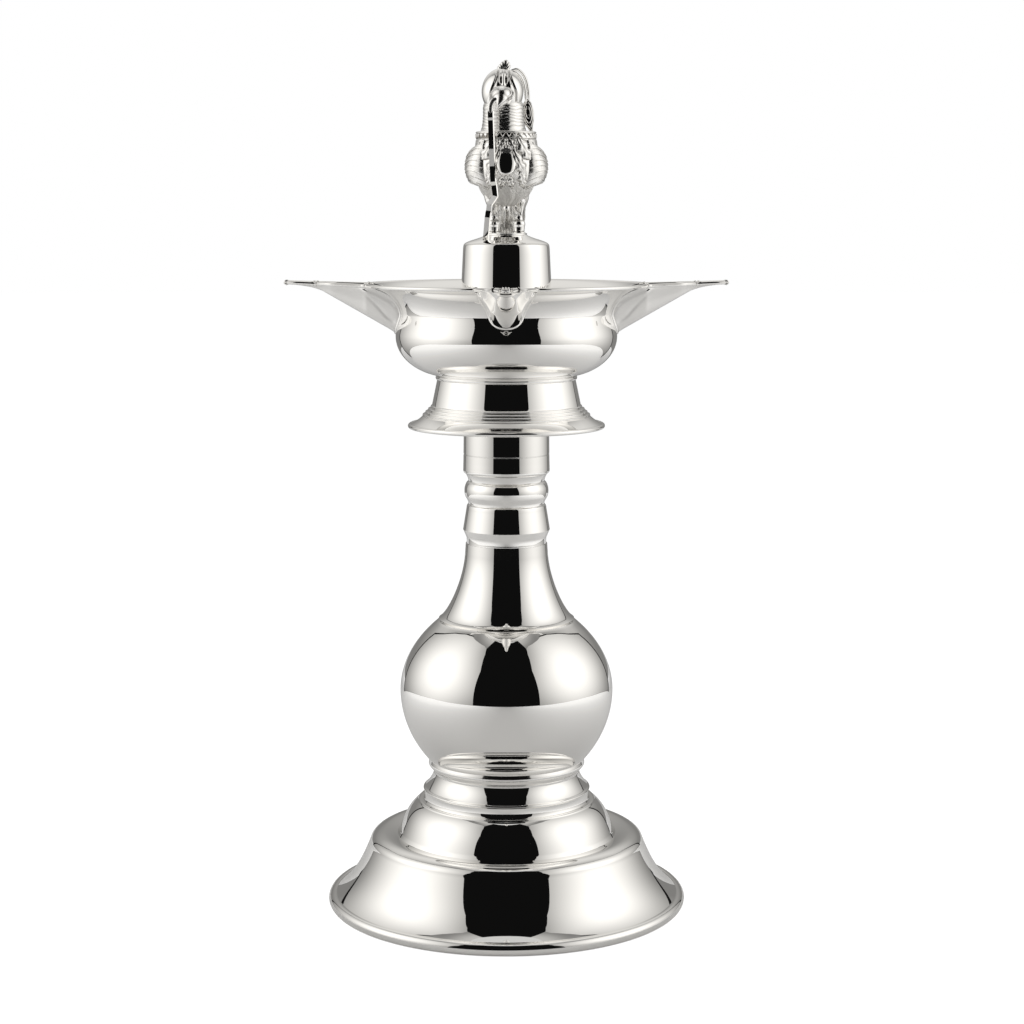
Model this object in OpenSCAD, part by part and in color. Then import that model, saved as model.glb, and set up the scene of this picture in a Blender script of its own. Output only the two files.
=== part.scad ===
// Oil lamp for aarti: a peacock finial over a four-spouted oil bowl, on a bulb stem and a bell foot.
// The foot, the stem, the bowl and the finial are four groups, held together by three screw joints.
// The lamp stands on z = 0 with its axis on Z, and the front of the lamp faces -Y.

/* [Sheet and screws] */
// Thickness of the raised silver sheet
sheet_t = 0.9; // [0.7:0.1:1.2]
// Radius of the two lower screw studs
stud_r = 5; // [4:0.25:6]
// Radius of the finial's screw stud
finial_stud_r = 4; // [3:0.25:5]
// Radial running clearance of a stud in its bush
screw_clear = 0.05; // [0.02:0.01:0.1]
// Length of thread that is engaged at each joint
thread_len = 9; // [7:0.5:9.5]
// Wall of a bush around its bore
bush_wall = 3; // [2:0.25:3.5]
// Thickness of a bush's or a stud's flange
flange_t = 1.6; // [1.2:0.1:2]
// Thickness of a joint washer
washer_t = 0.6; // [0.4:0.1:1]
// How far a washer's edge stays back from the joint's outer edge
washer_inset = 0.05; // [0.02:0.01:0.5]

/* [Foot] */
// Outer radius of the rolled rim that the lamp stands on
foot_r = 64.4; // [60:0.5:70]
// Radius of the rolled rim's bead
foot_bead_r = 2.3; // [1.8:0.1:2.6]
// Depth of the flat ground on the rim's underside
foot_flat = 0.2; // [0.1:0.05:0.4]
// Radius of the bell's shoulder
shoulder_r = 49.3; // [47:0.1:51]
// Height of the bell's shoulder edge
shoulder_z = 22.8; // [20:0.2:24]
// Height of the ledge's crown
crown_z = 26.2; // [25.8:0.1:28]
// Height of the ledge at the foot of the dome
ledge_z = 25.5; // [24.8:0.1:25.6]
// Radius of the dome at its foot
dome_r = 39; // [37:0.5:39.5]
// Height of the dome above the ledge
dome_h = 12.7; // [11:0.1:14]
// Radius of the dome's upper edge
dome_top_r = 31.8; // [31:0.1:33]
// Radius of the plain band over the dome
band_r = 29.6; // [28.8:0.1:30]
// Height of the foot collar, band and cone together
foot_collar_h = 9.8; // [9:0.1:12]
// Radius of the waist, where foot and stem meet
waist_r = 26.2; // [25:0.1:27]

/* [Stem] */
// Radius of the ring under the bulb
stem_collar_r = 28; // [27.5:0.1:28.5]
// Height of the ring under the bulb
stem_collar_h = 4.2; // [3.5:0.1:5]
// Greatest radius of the bulb
bulb_r = 38.05; // [34:0.5:42]
// Height of the bulb's lower shell
bulb_low_h = 24.4; // [22:0.2:28]
// Height of the bulb's upper shell
bulb_up_h = 26.2; // [24:0.2:30]
// Radius of the lip where the neck sits on the bulb
lip_r = 24.2; // [22:0.2:26]
// Height of the neck flare
neck_h = 27.6; // [24:0.2:32]
// Radius of the neck at its top
neck_r = 14.6; // [14.2:0.1:15]
// Radius of the grooves between the turned rings
groove_r = 13.8; // [13.6:0.1:14.2]
// Radius of the turned ring's ridge
ring_r = 15.6; // [15:0.1:17]
// Height of the turned ring
ring_h = 13.9; // [12:0.1:16]
// Radius of the turned bead
bead_r = 15; // [14.6:0.1:16]
// Height of the turned bead
bead_h = 9.9; // [9:0.1:12]
// Radius of the ridge on the column's cap
cap_ring_r = 15.4; // [15:0.1:16.5]
// Height of the column's cap
column_cap_h = 7.8; // [7:0.1:10]
// Bore through the turned rings
ring_bore_r = 12.4; // [11:0.1:12.8]

/* [Bowl] */
// Radius of the column above the screw joint
socket_r = 15.3; // [15:0.1:15.6]
// Height of the column above the screw joint
socket_h = 24.4; // [22:0.2:28]
// Outer radius of the skirt's wired rim
skirt_r = 34.8; // [32:0.2:38]
// Height from the skirt's rim wire to its top
skirt_h = 14.6; // [13:0.2:16]
// Radius of the skirt's rim wire
skirt_wire_r = 0.85; // [0.7:0.05:1]
// Radius of the skirt at its ridge line
skirt_ridge_r = 28.3; // [27.5:0.1:29]
// Radius of the skirt at its top
skirt_top_r = 24.5; // [23:0.1:25]
// Outer radius of the rounded collar under the bowl
bowl_collar_r = 24.9; // [24:0.1:26]
// Height of the rounded collar under the bowl
bowl_collar_h = 1.6; // [1.2:0.1:2.4]
// Radius of the bowl's flat base
base_r = 24.4; // [23:0.1:25]
// Greatest radius of the bowl
bowl_r = 38.9; // [37:0.2:41]
// Height of the bowl from its base to its greatest radius
bowl_low_h = 15.4; // [14:0.2:17]
// Height from the greatest radius to the throat
bowl_up_h = 11.4; // [10:0.2:13]
// Radius of the throat under the flange
throat_r = 34.9; // [33:0.1:36]
// Rise of the flange from the throat to the rim
flange_h = 6.3; // [5:0.1:8]
// Outer radius of the bowl's wired rim
rim_r = 50.2; // [48:0.2:53]
// Radius of the wire in the rim and round the spouts
rim_wire_r = 0.7; // [0.6:0.05:0.8]

/* [Spouts] */
// Distance from the lamp's axis to a spout's tip
spout_reach = 77.9; // [75:0.1:80]
// Half the width of a spout where it leaves the rim
spout_half_w = 10; // [9:0.25:11]
// Distance from the axis to the point where the keel ends and the tongue begins
keel_end_r = 64.7; // [62:0.1:66]
// Depth of the side spouts below the rim, at the bowl's wall
spout_side_drop = 16.6; // [15:0.1:17]
// Depth of the front and back spouts below the rim, at the bowl's wall
spout_front_drop = 13.2; // [12:0.1:15]
// Depth of the spout where its keel ends
keel_end_drop = 2.4; // [2:0.1:3]
// Rise of the tip above the rim
spout_raise = 1; // [0:0.1:2]
// Swelling of the spout's root where it is soldered to the bowl
root_swell = 0.8; // [0.4:0.1:1]
// Gap between a spout's root and the bowl's wall, which the solder fills
solder_gap = 0.06; // [0.04:0.01:0.15]

/* [Pedestal] */
// Radius of the pedestal at its foot, on the bowl's floor
pedestal_base_r = 17.2; // [16.5:0.1:18]
// Radius of the pedestal at its shoulder
pedestal_r = 15.15; // [14.8:0.1:15.6]
// Height of the pedestal from its foot to its shoulder
pedestal_h = 42.6; // [40:0.2:46]
// Rise of the pedestal's sloping top
pedestal_top_h = 5.4; // [5:0.1:7]
// Radius of the flat that the bird's feet stand on
perch_r = 7.4; // [7.2:0.1:8.5]

/* [Bird] */
// Greatest radius of the bird's body
body_r = 11.2; // [10.6:0.1:11.6]
// Height of the legs, from the perch to the middle of the thighs
leg_h = 10.6; // [10.2:0.1:12]
// Half the distance between the legs' centre lines
leg_x = 4.4; // [4:0.1:4.6]
// Radius of a leg
leg_r = 2.3; // [2:0.1:2.5]
// Height of the perch to the lowest point of the body
belly_z = 8.7; // [8.4:0.1:9]
// Height of the body, from belly to shoulders
body_h = 25.8; // [25:0.1:27]
// Radius of the body at the shoulders
shoulders_r = 10.2; // [9.8:0.1:10.5]
// Radius of the neck at its narrowest
bird_neck_r = 7.1; // [6.6:0.1:7.4]
// Radius of the round of the head
head_r = 7; // [6.8:0.1:7.2]
// Distance from the shoulders to the middle of the head
neck_len = 15.3; // [15:0.1:16]
// How far the head is turned to the side from the axis
head_x = -1.3; // [-1.6:0.1:-1]
// Length of the beak from the middle of the head
beak_len = 12.4; // [11.5:0.1:13]
// Height of the crest over the crown of the head
crest_h = 3; // [2.6:0.1:3.6]
// Radius of a bead of the necklace
necklace_bead_r = 0.8; // [0.6:0.05:0.85]
// Number of beads in the necklace
necklace_beads = 24; // [16:2:28]
// How far a wing stands out from the axis
wing_x = 15; // [14.2:0.1:16]
// Angle of a wing's front end, from the lamp's side towards the front
wing_front = 46; // [40:1:55]
// Angle of a wing's rear end, from the lamp's side towards the back
wing_rear = 60; // [50:1:62]
// Height of a wing
wing_h = 18.4; // [15:0.2:19]
// Number of feather rows in a wing
wing_rows = 7; // [4:1:8]
// Length of the tail behind the body
tail_len = 12.5; // [11:0.5:16]
// Half the width of the tail at its end
tail_half_w = 6.6; // [5:0.2:7]
// Width of the strap that hangs from the beak
strap_w = 2.6; // [2:0.1:3]
// Thickness of the strap
strap_t = 0.9; // [0.7:0.1:1.1]

/* [Hidden] */
$fn = 96;
// Overrun of a cutting solid beyond what it cuts
over = 1;
// Number of segments along a curve of the outline
curve_n = 12;

// Heights of the seams, from the ground up
foot_seat_z = 2 * foot_bead_r - foot_flat - foot_bead_r / 4.6;
foot_bead_z = foot_bead_r - foot_flat;
dome_top_z = ledge_z + dome_h;
waist_z = dome_top_z + foot_collar_h;
stem_z = waist_z + washer_t;
bulb_z = stem_z + stem_collar_h;
equator_z = bulb_z + bulb_low_h;
lip_z = equator_z + bulb_up_h;
ring_z = lip_z + neck_h;
bead_z = ring_z + ring_h;
column_cap_z = bead_z + bead_h;
column_top_z = column_cap_z + column_cap_h;
socket_z = column_top_z + washer_t;
socket_top_z = socket_z + socket_h;
skirt_wire_z = socket_top_z - skirt_h;
base_z = socket_top_z + bowl_collar_h;
bowl_mid_z = base_z + bowl_low_h;
throat_z = bowl_mid_z + bowl_up_h;
rim_z = throat_z + flange_h;
floor_z = base_z + sheet_t;
bowl_bush_top_z = floor_z + flange_t;
pedestal_z = bowl_bush_top_z + washer_t;
pedestal_shoulder_z = pedestal_z + pedestal_h;
perch_z = pedestal_shoulder_z + pedestal_top_h;

// Radii that the joints share
bush_r = stud_r + screw_clear + bush_wall;
finial_bush_r = finial_stud_r + screw_clear + bush_wall;
foot_plate_r = waist_r - 2 * sheet_t;
stem_plate_r = waist_r - 2 * sheet_t;
column_plate_r = groove_r - flange_t / 4;
finial_flange_r = finial_bush_r + bush_wall;

// Control points of the raised curves, as shares of the way from one end to the other
flare_shares = [[0.48, 0.22], [0.70, 0.50]];
shoulder_shares = [[0.09, 0.62], [0.48, 0.94]];
dome_shares = [[0.33, 0.42], [0.50, 0.73]];
cone_shares = [[0.50, 0.30], [0.85, 0.65]];
bulb_low_shares = [[0.53, 0.23], [1, 0.58]];
bulb_up_shares = [[0, 0.29], [0.24, 0.66]];
neck_shares = [[0.36, 0.08], [1.02, 0.58]];
skirt_low_shares = [[0.42, 0.34], [0.72, 0.60]];
skirt_up_shares = [[0.40, 0.20], [0.76, 0.56]];
bowl_low_shares = [[0.52, 0.08], [1, 0.47]];
bowl_up_shares = [[0, 0.43], [0.82, 0.65]];
flange_shares = [[-0.01, 0.41], [0.38, 0.60]];
belly_shares = [[0.60, 0.02], [1, 0.50]];
breast_shares = [[0.08, 0.55], [0.40, 0.90]];
nape_shares = [[0.75, 0.14], [1, 0.42]];

// Turned outlines: share of the way from groove to ridge, and share of the height
ring_shares = [[0.40, 0], [0.44, 0.12], [0.78, 0.26], [1, 0.36], [0.86, 0.47], [0.67, 0.68],
    [0.56, 0.83], [0.39, 0.91], [0, 1]];
bead_shares = [[0, 0], [0.17, 0.12], [0.75, 0.27], [1, 0.45], [0.96, 0.56], [0.75, 0.70],
    [0.46, 0.85], [0.20, 1]];
column_shares = [[0.19, 0], [0.69, 0.17], [1, 0.36], [0.94, 0.72], [0.81, 1]];
// Radius of the column on both sides of the bowl's screw joint
joint_column_r = groove_r + (cap_ring_r - groove_r) * column_shares[4][0];

// Half of a spout's section, from keel to lip: share of the half width and share of the depth
spout_shares = [[0, 0], [0.21, 0.02], [0.39, 0.08], [0.51, 0.20], [0.65, 0.46], [0.81, 0.69],
    [0.95, 0.89]];
// Stations of the leaf beyond the rim: share of the way to the tip and share of the half width
leaf_shares = [[0.03, 0.95], [0.18, 0.77], [0.35, 0.59], [0.53, 0.43], [0.75, 0.28], [0.96, 0.16],
    [1, 0.09]];
// Depth of the tongue at the stations past the keel's end, as shares of the keel's end depth
tongue_shares = [[0, 1], [0.25, 0.62], [0.50, 0.42], [0.75, 0.30], [1, 0.24]];

function curve(a, b, shares, n = curve_n) =
    let (p = [a, [a.x + (b.x - a.x) * shares[0].x, a.y + (b.y - a.y) * shares[0].y],
        [a.x + (b.x - a.x) * shares[1].x, a.y + (b.y - a.y) * shares[1].y], b])
    [for (i = [0:n]) let (t = i / n, s = 1 - t)
        p[0] * s * s * s + p[1] * 3 * s * s * t + p[2] * 3 * s * t * t + p[3] * t * t * t];
function reversed(list) = [for (i = [len(list) - 1:-1:0]) list[i]];
function tail_of(list) = [for (i = [1:len(list) - 1]) list[i]];

// The way out of the sheet at point i of an outline that runs upwards
function out_at(p, i) =
    let (a = p[max(i - 1, 0)], b = p[min(i + 1, len(p) - 1)], d = (b - a) / norm(b - a)) [d.y, -d.x];
// The inner side of a sheet, whose two ends are level (flat = true) or upright (flat = false)
function inner_side(p, t, flat_a, flat_b) =
    [for (i = [0:len(p) - 1])
        let (o = out_at(p, i), flat = i == 0 ? flat_a : flat_b)
        i > 0 && i < len(p) - 1 ? p[i] - o * t
            : flat ? p[i] - [t / (sign(o.x) * max(abs(o.x), 0.3)), 0]
                : p[i] - [0, t / (sign(o.y) * max(abs(o.y), 0.3))]];

module sheet(p, flat_a = true, flat_b = true, t = sheet_t)
    rotate_extrude() polygon(concat(p, reversed(inner_side(p, t, flat_a, flat_b))));
module torus(r, wire_r, z)
    translate([0, 0, z]) rotate_extrude() translate([r, 0]) circle(r = wire_r, $fn = 48);
module disc(r, z, h)
    translate([0, 0, z]) cylinder(r = r, h = h);
module pipe(r, bore_r, z, h)
    difference() {
        disc(r, z, h);
        disc(bore_r, z - over, h + 2 * over);
    }
// A turned ring around a bore, whose outline lies between the groove and the ridge
module turned(shares, ridge_r, z, h, bore_r)
    rotate_extrude()
        polygon(concat([[bore_r, z]],
            [for (s = shares) [groove_r + (ridge_r - groove_r) * s[0], z + h * s[1]]],
            [[bore_r, z + h]]));
// A bush: a flange with its face at z, and a boss below it
module bush(flange_r, boss_r, bore_r, z)
    difference() {
        union() {
            disc(flange_r, z - flange_t, flange_t);
            disc(boss_r, z - thread_len - flange_t, thread_len + flange_t);
        }
        disc(bore_r, z - thread_len - flange_t - over, thread_len + flange_t + 2 * over);
    }
// A stud: a flange with its lower face at z, and a screw below it
module stud(flange_r, r, z)
    union() {
        disc(flange_r, z, flange_t);
        disc(r, z - thread_len, thread_len + flange_t / 2);
    }
module washer(r, bore_r, z)
    pipe(r, bore_r + screw_clear + washer_t, z, washer_t);

// Solid between successive rings of points, each ring closed and all of one length
module loft(rings) {
    n = len(rings[0]);
    m = len(rings);
    points = [for (ring = rings) each ring];
    sides = [for (k = [0:m - 2], j = [0:n - 1]) let (a = k * n + j, b = k * n + (j + 1) % n)
        each [[a, a + n, b], [b, a + n, b + n]]];
    start = [for (j = [1:n - 2]) [0, j, j + 1]];
    end = [for (j = [1:n - 2]) [(m - 1) * n, (m - 1) * n + j + 1, (m - 1) * n + j]];
    polyhedron(points = points, faces = concat(start, sides, end), convexity = 4);
}
// An ellipse of n points around c, spanned by the half axes a and b
function oval(c, a, b, n) = [for (i = [0:n - 1]) c + a * cos(360 * i / n) + b * sin(360 * i / n)];

// Foot
foot_ring_r = foot_r - foot_bead_r;
bell_line = concat(
    curve([foot_ring_r, foot_seat_z], [shoulder_r, shoulder_z], flare_shares),
    tail_of(curve([shoulder_r, shoulder_z], [(shoulder_r + dome_r) / 2, crown_z], shoulder_shares,
        curve_n / 2)),
    [[dome_r + 2 * sheet_t, ledge_z], [dome_r - 2 * sheet_t, ledge_z]]);

module foot_rim() color("silver")
    difference() {
        torus(foot_ring_r, foot_bead_r, foot_bead_z);
        disc(foot_r + over, -foot_bead_r, foot_bead_r);
        disc(foot_ring_r, foot_seat_z, foot_bead_r);
    }
module foot_bell() color("silver")
    sheet(bell_line, true, false);
module foot_dome() color("silver")
    sheet(concat(
        curve([dome_r, ledge_z], [dome_top_r, dome_top_z - sheet_t / 2], dome_shares),
        [[dome_top_r - sheet_t, dome_top_z], [band_r - 2 * sheet_t, dome_top_z]]), true, false);
module foot_collar() color("silver")
    difference() {
        sheet(concat(
            [[band_r + sheet_t / 3, dome_top_z], [band_r, dome_top_z + 0.08 * foot_collar_h],
                [band_r - sheet_t / 4, dome_top_z + 0.33 * foot_collar_h],
                [band_r + sheet_t / 3, dome_top_z + 0.40 * foot_collar_h]],
            curve([band_r - sheet_t / 3, dome_top_z + 0.46 * foot_collar_h], [waist_r, waist_z],
                cone_shares, curve_n / 2)));
        disc(foot_plate_r, waist_z - flange_t, flange_t + over);
    }
module foot_bush() color("silver")
    bush(foot_plate_r, bush_r, stud_r + screw_clear, waist_z);
module foot_washer() color("lightgray")
    washer(waist_r - washer_inset, stud_r, waist_z);

// Stem
module stem_stud() color("silver")
    stud(stem_plate_r, stud_r, stem_z);
module stem_collar() color("silver")
    difference() {
        sheet([[waist_r, stem_z], [waist_r + sheet_t / 2, stem_z + 0.18 * stem_collar_h],
            [stem_collar_r, stem_z + 0.50 * stem_collar_h], [stem_collar_r, stem_z + 0.85 * stem_collar_h],
            [stem_collar_r - sheet_t / 3, bulb_z]]);
        disc(stem_plate_r, stem_z - over, flange_t + over);
    }
module bulb_lower() color("silver")
    sheet(curve([stem_collar_r - sheet_t / 3, bulb_z], [bulb_r, equator_z], bulb_low_shares));
module bulb_upper() color("silver")
    sheet(concat(
        curve([bulb_r, equator_z], [lip_r + sheet_t / 2, lip_z - sheet_t / 3], bulb_up_shares),
        [[lip_r - sheet_t / 3, lip_z], [lip_r - 3 * sheet_t, lip_z]]), true, false);
module neck_flare() color("silver")
    sheet(concat(
        [[lip_r - sheet_t / 3, lip_z]],
        curve([lip_r, lip_z + sheet_t], [neck_r, ring_z - 1.5 * sheet_t], neck_shares),
        [[neck_r, ring_z]]));
module neck_ring() color("silver")
    turned(ring_shares, ring_r, ring_z, ring_h, ring_bore_r);
module neck_bead() color("silver")
    turned(bead_shares, bead_r, bead_z, bead_h, ring_bore_r);
module column_cap() color("silver")
    difference() {
        turned(column_shares, cap_ring_r, column_cap_z, column_cap_h, ring_bore_r);
        disc(column_plate_r, column_top_z - flange_t, flange_t + over);
    }
module stem_bush() color("silver")
    bush(column_plate_r, bush_r, stud_r + screw_clear, column_top_z);
module bowl_washer() color("lightgray")
    washer(joint_column_r - washer_inset, stud_r, column_top_z);

// Bowl
skirt_ring_r = skirt_r - skirt_wire_r;
skirt_seat_z = skirt_wire_z + skirt_wire_r / 2;
skirt_ridge_z = skirt_wire_z + skirt_h / 3;
bowl_low_line = curve([base_r, base_z], [bowl_r, bowl_mid_z], bowl_low_shares);
bowl_up_line = concat(
    curve([bowl_r, bowl_mid_z], [throat_r, throat_z], bowl_up_shares),
    tail_of(curve([throat_r, throat_z], [rim_r - 2 * rim_wire_r, rim_z - sheet_t / 2], flange_shares)));
// Radius of the bowl's outer side at each height above its greatest radius
wall_table = [for (p = bowl_up_line) [p.y, p.x]];

module bowl_stud() color("silver")
    stud(column_plate_r, stud_r, socket_z);
module bowl_socket() color("silver")
    difference() {
        sheet([[joint_column_r, socket_z], [socket_r, socket_top_z]], t = 2 * sheet_t);
        disc(column_plate_r, socket_z - over, flange_t + over);
    }
module bowl_skirt() color("silver")
    sheet(concat(
        curve([skirt_ring_r, skirt_seat_z], [skirt_ridge_r, skirt_ridge_z - sheet_t / 3],
            skirt_low_shares, curve_n / 2),
        [[skirt_ridge_r + sheet_t / 6, skirt_ridge_z],
            [skirt_ridge_r - sheet_t / 6, skirt_ridge_z + sheet_t / 2]],
        tail_of(curve([skirt_ridge_r - sheet_t / 6, skirt_ridge_z + sheet_t / 2], [skirt_top_r, socket_top_z],
            skirt_up_shares))));
module skirt_rim() color("silver")
    difference() {
        torus(skirt_ring_r, skirt_wire_r, skirt_wire_z);
        disc(skirt_ring_r, skirt_seat_z, skirt_wire_r);
    }
module bowl_collar() color("silver")
    difference() {
        union() {
            disc(bowl_collar_r - bowl_collar_h / 2, socket_top_z, bowl_collar_h);
            torus(bowl_collar_r - bowl_collar_h / 2, bowl_collar_h / 2, socket_top_z + bowl_collar_h / 2);
        }
        disc(finial_bush_r, socket_top_z - over, bowl_collar_h + 2 * over);
    }

// The mouth that a spout opens in the bowl's wall, along +X
module mouth_cut(drop) {
    half = [for (s = spout_shares)
        [(spout_half_w - sheet_t) * s[0], rim_z - (drop - sheet_t) * (1 - s[1])]];
    top = [[spout_half_w - sheet_t, rim_z], [spout_half_w - sheet_t, rim_z + flange_h]];
    right = concat(half, top);
    left = [for (p = reversed(tail_of(right))) [-p.x, p.y]];
    translate([throat_r - spout_half_w, 0, 0]) rotate([90, 0, 90])
        linear_extrude(height = spout_reach - throat_r) polygon(concat(right, left));
}
module bowl_lower() color("silver")
    rotate_extrude()
        polygon(concat([[finial_bush_r, base_z]], bowl_low_line,
            reversed(inner_side(bowl_low_line, sheet_t, false, true)), [[finial_bush_r, floor_z]]));
module bowl_upper() color("silver")
    difference() {
        rotate_extrude()
            polygon(concat(bowl_up_line, reversed(inner_side(bowl_up_line, sheet_t, true, false))));
        for (turn = [0, 180]) rotate([0, 0, turn]) mouth_cut(spout_side_drop);
        for (turn = [90, 270]) rotate([0, 0, turn]) mouth_cut(spout_front_drop);
    }
// The wire in the rim, in four arcs between the spouts
rim_ring_r = rim_r - rim_wire_r;
arc_start = asin((spout_half_w + rim_wire_r) / rim_ring_r);
module bowl_rim() color("silver")
    for (turn = [0:90:270]) rotate([0, 0, turn + arc_start])
        rotate_extrude(angle = 90 - 2 * arc_start)
            translate([rim_ring_r, rim_z]) circle(r = rim_wire_r, $fn = 48);
module bowl_bush() color("silver")
    union() {
        difference() {
            disc(finial_flange_r, floor_z, flange_t);
            disc(finial_stud_r + screw_clear, floor_z - over, flange_t + 2 * over);
        }
        pipe(finial_bush_r, finial_stud_r + screw_clear,
            bowl_bush_top_z - thread_len - flange_t, thread_len + flange_t);
    }

// Height of the lip at a distance from the axis
function lip_at(x) = rim_z + spout_raise * max(0, x - rim_ring_r) / (spout_reach - rim_ring_r);
// Height of the keel at a distance from the axis, for a spout that is drop deep at the bowl's wall
function keel_at(x, drop) =
    let (start = bowl_r, end_z = lip_at(keel_end_r) - keel_end_drop, start_z = rim_z - drop)
    x <= keel_end_r ? start_z + (end_z - start_z) * (x - start) / (keel_end_r - start)
        : lip_at(x) - keel_end_drop * lookup((x - keel_end_r) / (spout_reach - keel_end_r), tongue_shares);
// One side of a spout's section, keel to lip, as [y, z] pairs; the wire's three points come last
function half_section(half_w, keel, lip, wire, angles) =
    concat([for (s = spout_shares) [half_w * s[0], keel + (lip - keel) * s[1]]],
        [for (a = angles) [half_w + wire * cos(a), lip + wire * sin(a)]]);
// The whole section, from the left lip to the right one
function mirrored(half) = concat([for (p = reversed(tail_of(half))) [-p.x, p.y]], half);
function outer_section(half_w, keel, lip, wire) =
    mirrored(half_section(half_w, keel, lip, wire, [-50, 0, 70]));
function inner_section(half_w, keel, lip, wire) =
    mirrored(half_section(max(half_w - sheet_t, sheet_t / 9), min(keel + sheet_t, lip - wire / 2), lip, wire,
        [-130, 180, 110]));
// The wire's inner points sit on the same circle as the outer ones
function wire_fixed(section, half_w, lip, wire) =
    let (n = len(section))
    [for (i = [0:n - 1])
        let (k = min(i, n - 1 - i), side = i < n / 2 ? -1 : 1, a = [110, 180, -130][min(k, 2)])
        k < 3 ? [side * (half_w + wire * cos(a)), lip + wire * sin(a)] : section[i]];
// The place beside the bowl's wall for a point [y, z] of a section
function on_wall(p) = [sqrt(pow(lookup(p.y, wall_table) + solder_gap, 2) - p.x * p.x), p.x, p.y];
function swollen(p, keel, lip) =
    let (s = max(0, (lip - p.y) / (lip - keel))) [p.x + sign(p.x) * root_swell * s, p.y - root_swell * s];

module spout(drop) {
    foot_keel = keel_at(bowl_r, drop);
    outer_root = outer_section(spout_half_w, foot_keel, rim_z, rim_wire_r);
    inner_root = wire_fixed(inner_section(spout_half_w, foot_keel, rim_z, rim_wire_r),
        spout_half_w, rim_z, rim_wire_r);
    n = len(outer_root);
    root = [for (p = outer_root) on_wall(swollen(p, foot_keel, rim_z))];
    root_in = [for (p = inner_root) on_wall(p)];
    step = rim_wire_r * 2;
    near = [for (p = outer_root) on_wall(p) + [step, 0, 0]];
    near_in = [for (p = inner_root) on_wall(p) + [step, 0, 0]];
    leaf_start = rim_ring_r;
    leaf = [for (s = leaf_shares)
        let (x = leaf_start + (spout_reach - leaf_start) * s[0], w = spout_half_w * s[1],
            keel = keel_at(x, drop), lip = lip_at(x))
        [for (p = outer_section(w, keel, lip, rim_wire_r)) [x, p.x, p.y]]];
    leaf_in = [for (s = leaf_shares)
        let (x = leaf_start + (spout_reach - leaf_start) * s[0], w = spout_half_w * s[1],
            keel = keel_at(x, drop), lip = lip_at(x))
        [for (p = wire_fixed(inner_section(w, keel, lip, rim_wire_r), w, lip, rim_wire_r)) [x, p.x, p.y]]];
    outer = concat([root, near], leaf);
    inner = concat([root_in, near_in], leaf_in);
    m = len(outer);
    points = [for (k = [0:m - 1]) each concat(outer[k], reversed(inner[k]))];
    sides = [for (k = [0:m - 2], j = [0:2 * n - 1])
        let (a = k * 2 * n + j, b = k * 2 * n + (j + 1) % (2 * n))
        each [[a, a + 2 * n, b], [b, a + 2 * n, b + 2 * n]]];
    caps = [for (k = [0, m - 1], j = [0:n - 2])
        let (a = k * 2 * n + j, b = a + 1, c = k * 2 * n + 2 * n - 1 - j, d = c - 1)
        each (k == 0 ? [[a, b, c], [b, d, c]] : [[a, c, b], [b, c, d]])];
    polyhedron(points = points, faces = concat(sides, caps), convexity = 6);
}
module spout_right() color("silver")
    spout(spout_side_drop);
module spout_left() color("silver")
    rotate([0, 0, 180]) spout(spout_side_drop);
module spout_front() color("silver")
    rotate([0, 0, 270]) spout(spout_front_drop);
module spout_back() color("silver")
    rotate([0, 0, 90]) spout(spout_front_drop);

// Finial
module finial_washer() color("lightgray")
    washer(finial_flange_r - washer_inset, finial_stud_r, bowl_bush_top_z);
pedestal_plate_r = pedestal_base_r - 2 * sheet_t;
module finial_stud() color("silver")
    stud(pedestal_plate_r, finial_stud_r, pedestal_z);
pedestal_top_shares = [[0.03, 0.26], [0.12, 0.39], [0.33, 0.52], [0.73, 0.70], [1, 0.87], [1.02, 1]];
module pedestal() color("silver")
    difference() {
        rotate_extrude()
            polygon(concat([[pedestal_base_r, pedestal_z], [pedestal_r, pedestal_shoulder_z]],
                [for (s = pedestal_top_shares) [pedestal_r + (perch_r - pedestal_r) * s[0],
                    pedestal_shoulder_z + pedestal_top_h * s[1]]],
                [[0, perch_z], [0, perch_z - sheet_t], [perch_r - sheet_t, perch_z - sheet_t],
                    [perch_r - sheet_t / 2, pedestal_shoulder_z + pedestal_top_h / 2],
                    [pedestal_r - 1.5 * sheet_t, pedestal_shoulder_z + pedestal_top_h / 5],
                    [pedestal_r - sheet_t, pedestal_shoulder_z - sheet_t],
                    [pedestal_base_r - sheet_t, pedestal_z]]));
        disc(pedestal_plate_r, pedestal_z - over, flange_t + over);
    }

// Bird
bird_z = perch_z + belly_z;
shoulders_z = bird_z + body_h;
head_z = shoulders_z + neck_len;
head_y = -body_r / 14;
neck_x = 0.75 * head_x;
breast_z = bird_z + 0.58 * body_h;
body_line = concat(
    curve([0, bird_z], [body_r, breast_z], belly_shares, curve_n),
    tail_of(curve([body_r, breast_z], [shoulders_r, shoulders_z], breast_shares, curve_n / 2)));
module body_solid()
    rotate_extrude() polygon(concat(body_line, [[0, shoulders_z]]));
module head_solid()
    translate([head_x, head_y, head_z]) sphere(r = head_r);

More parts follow.
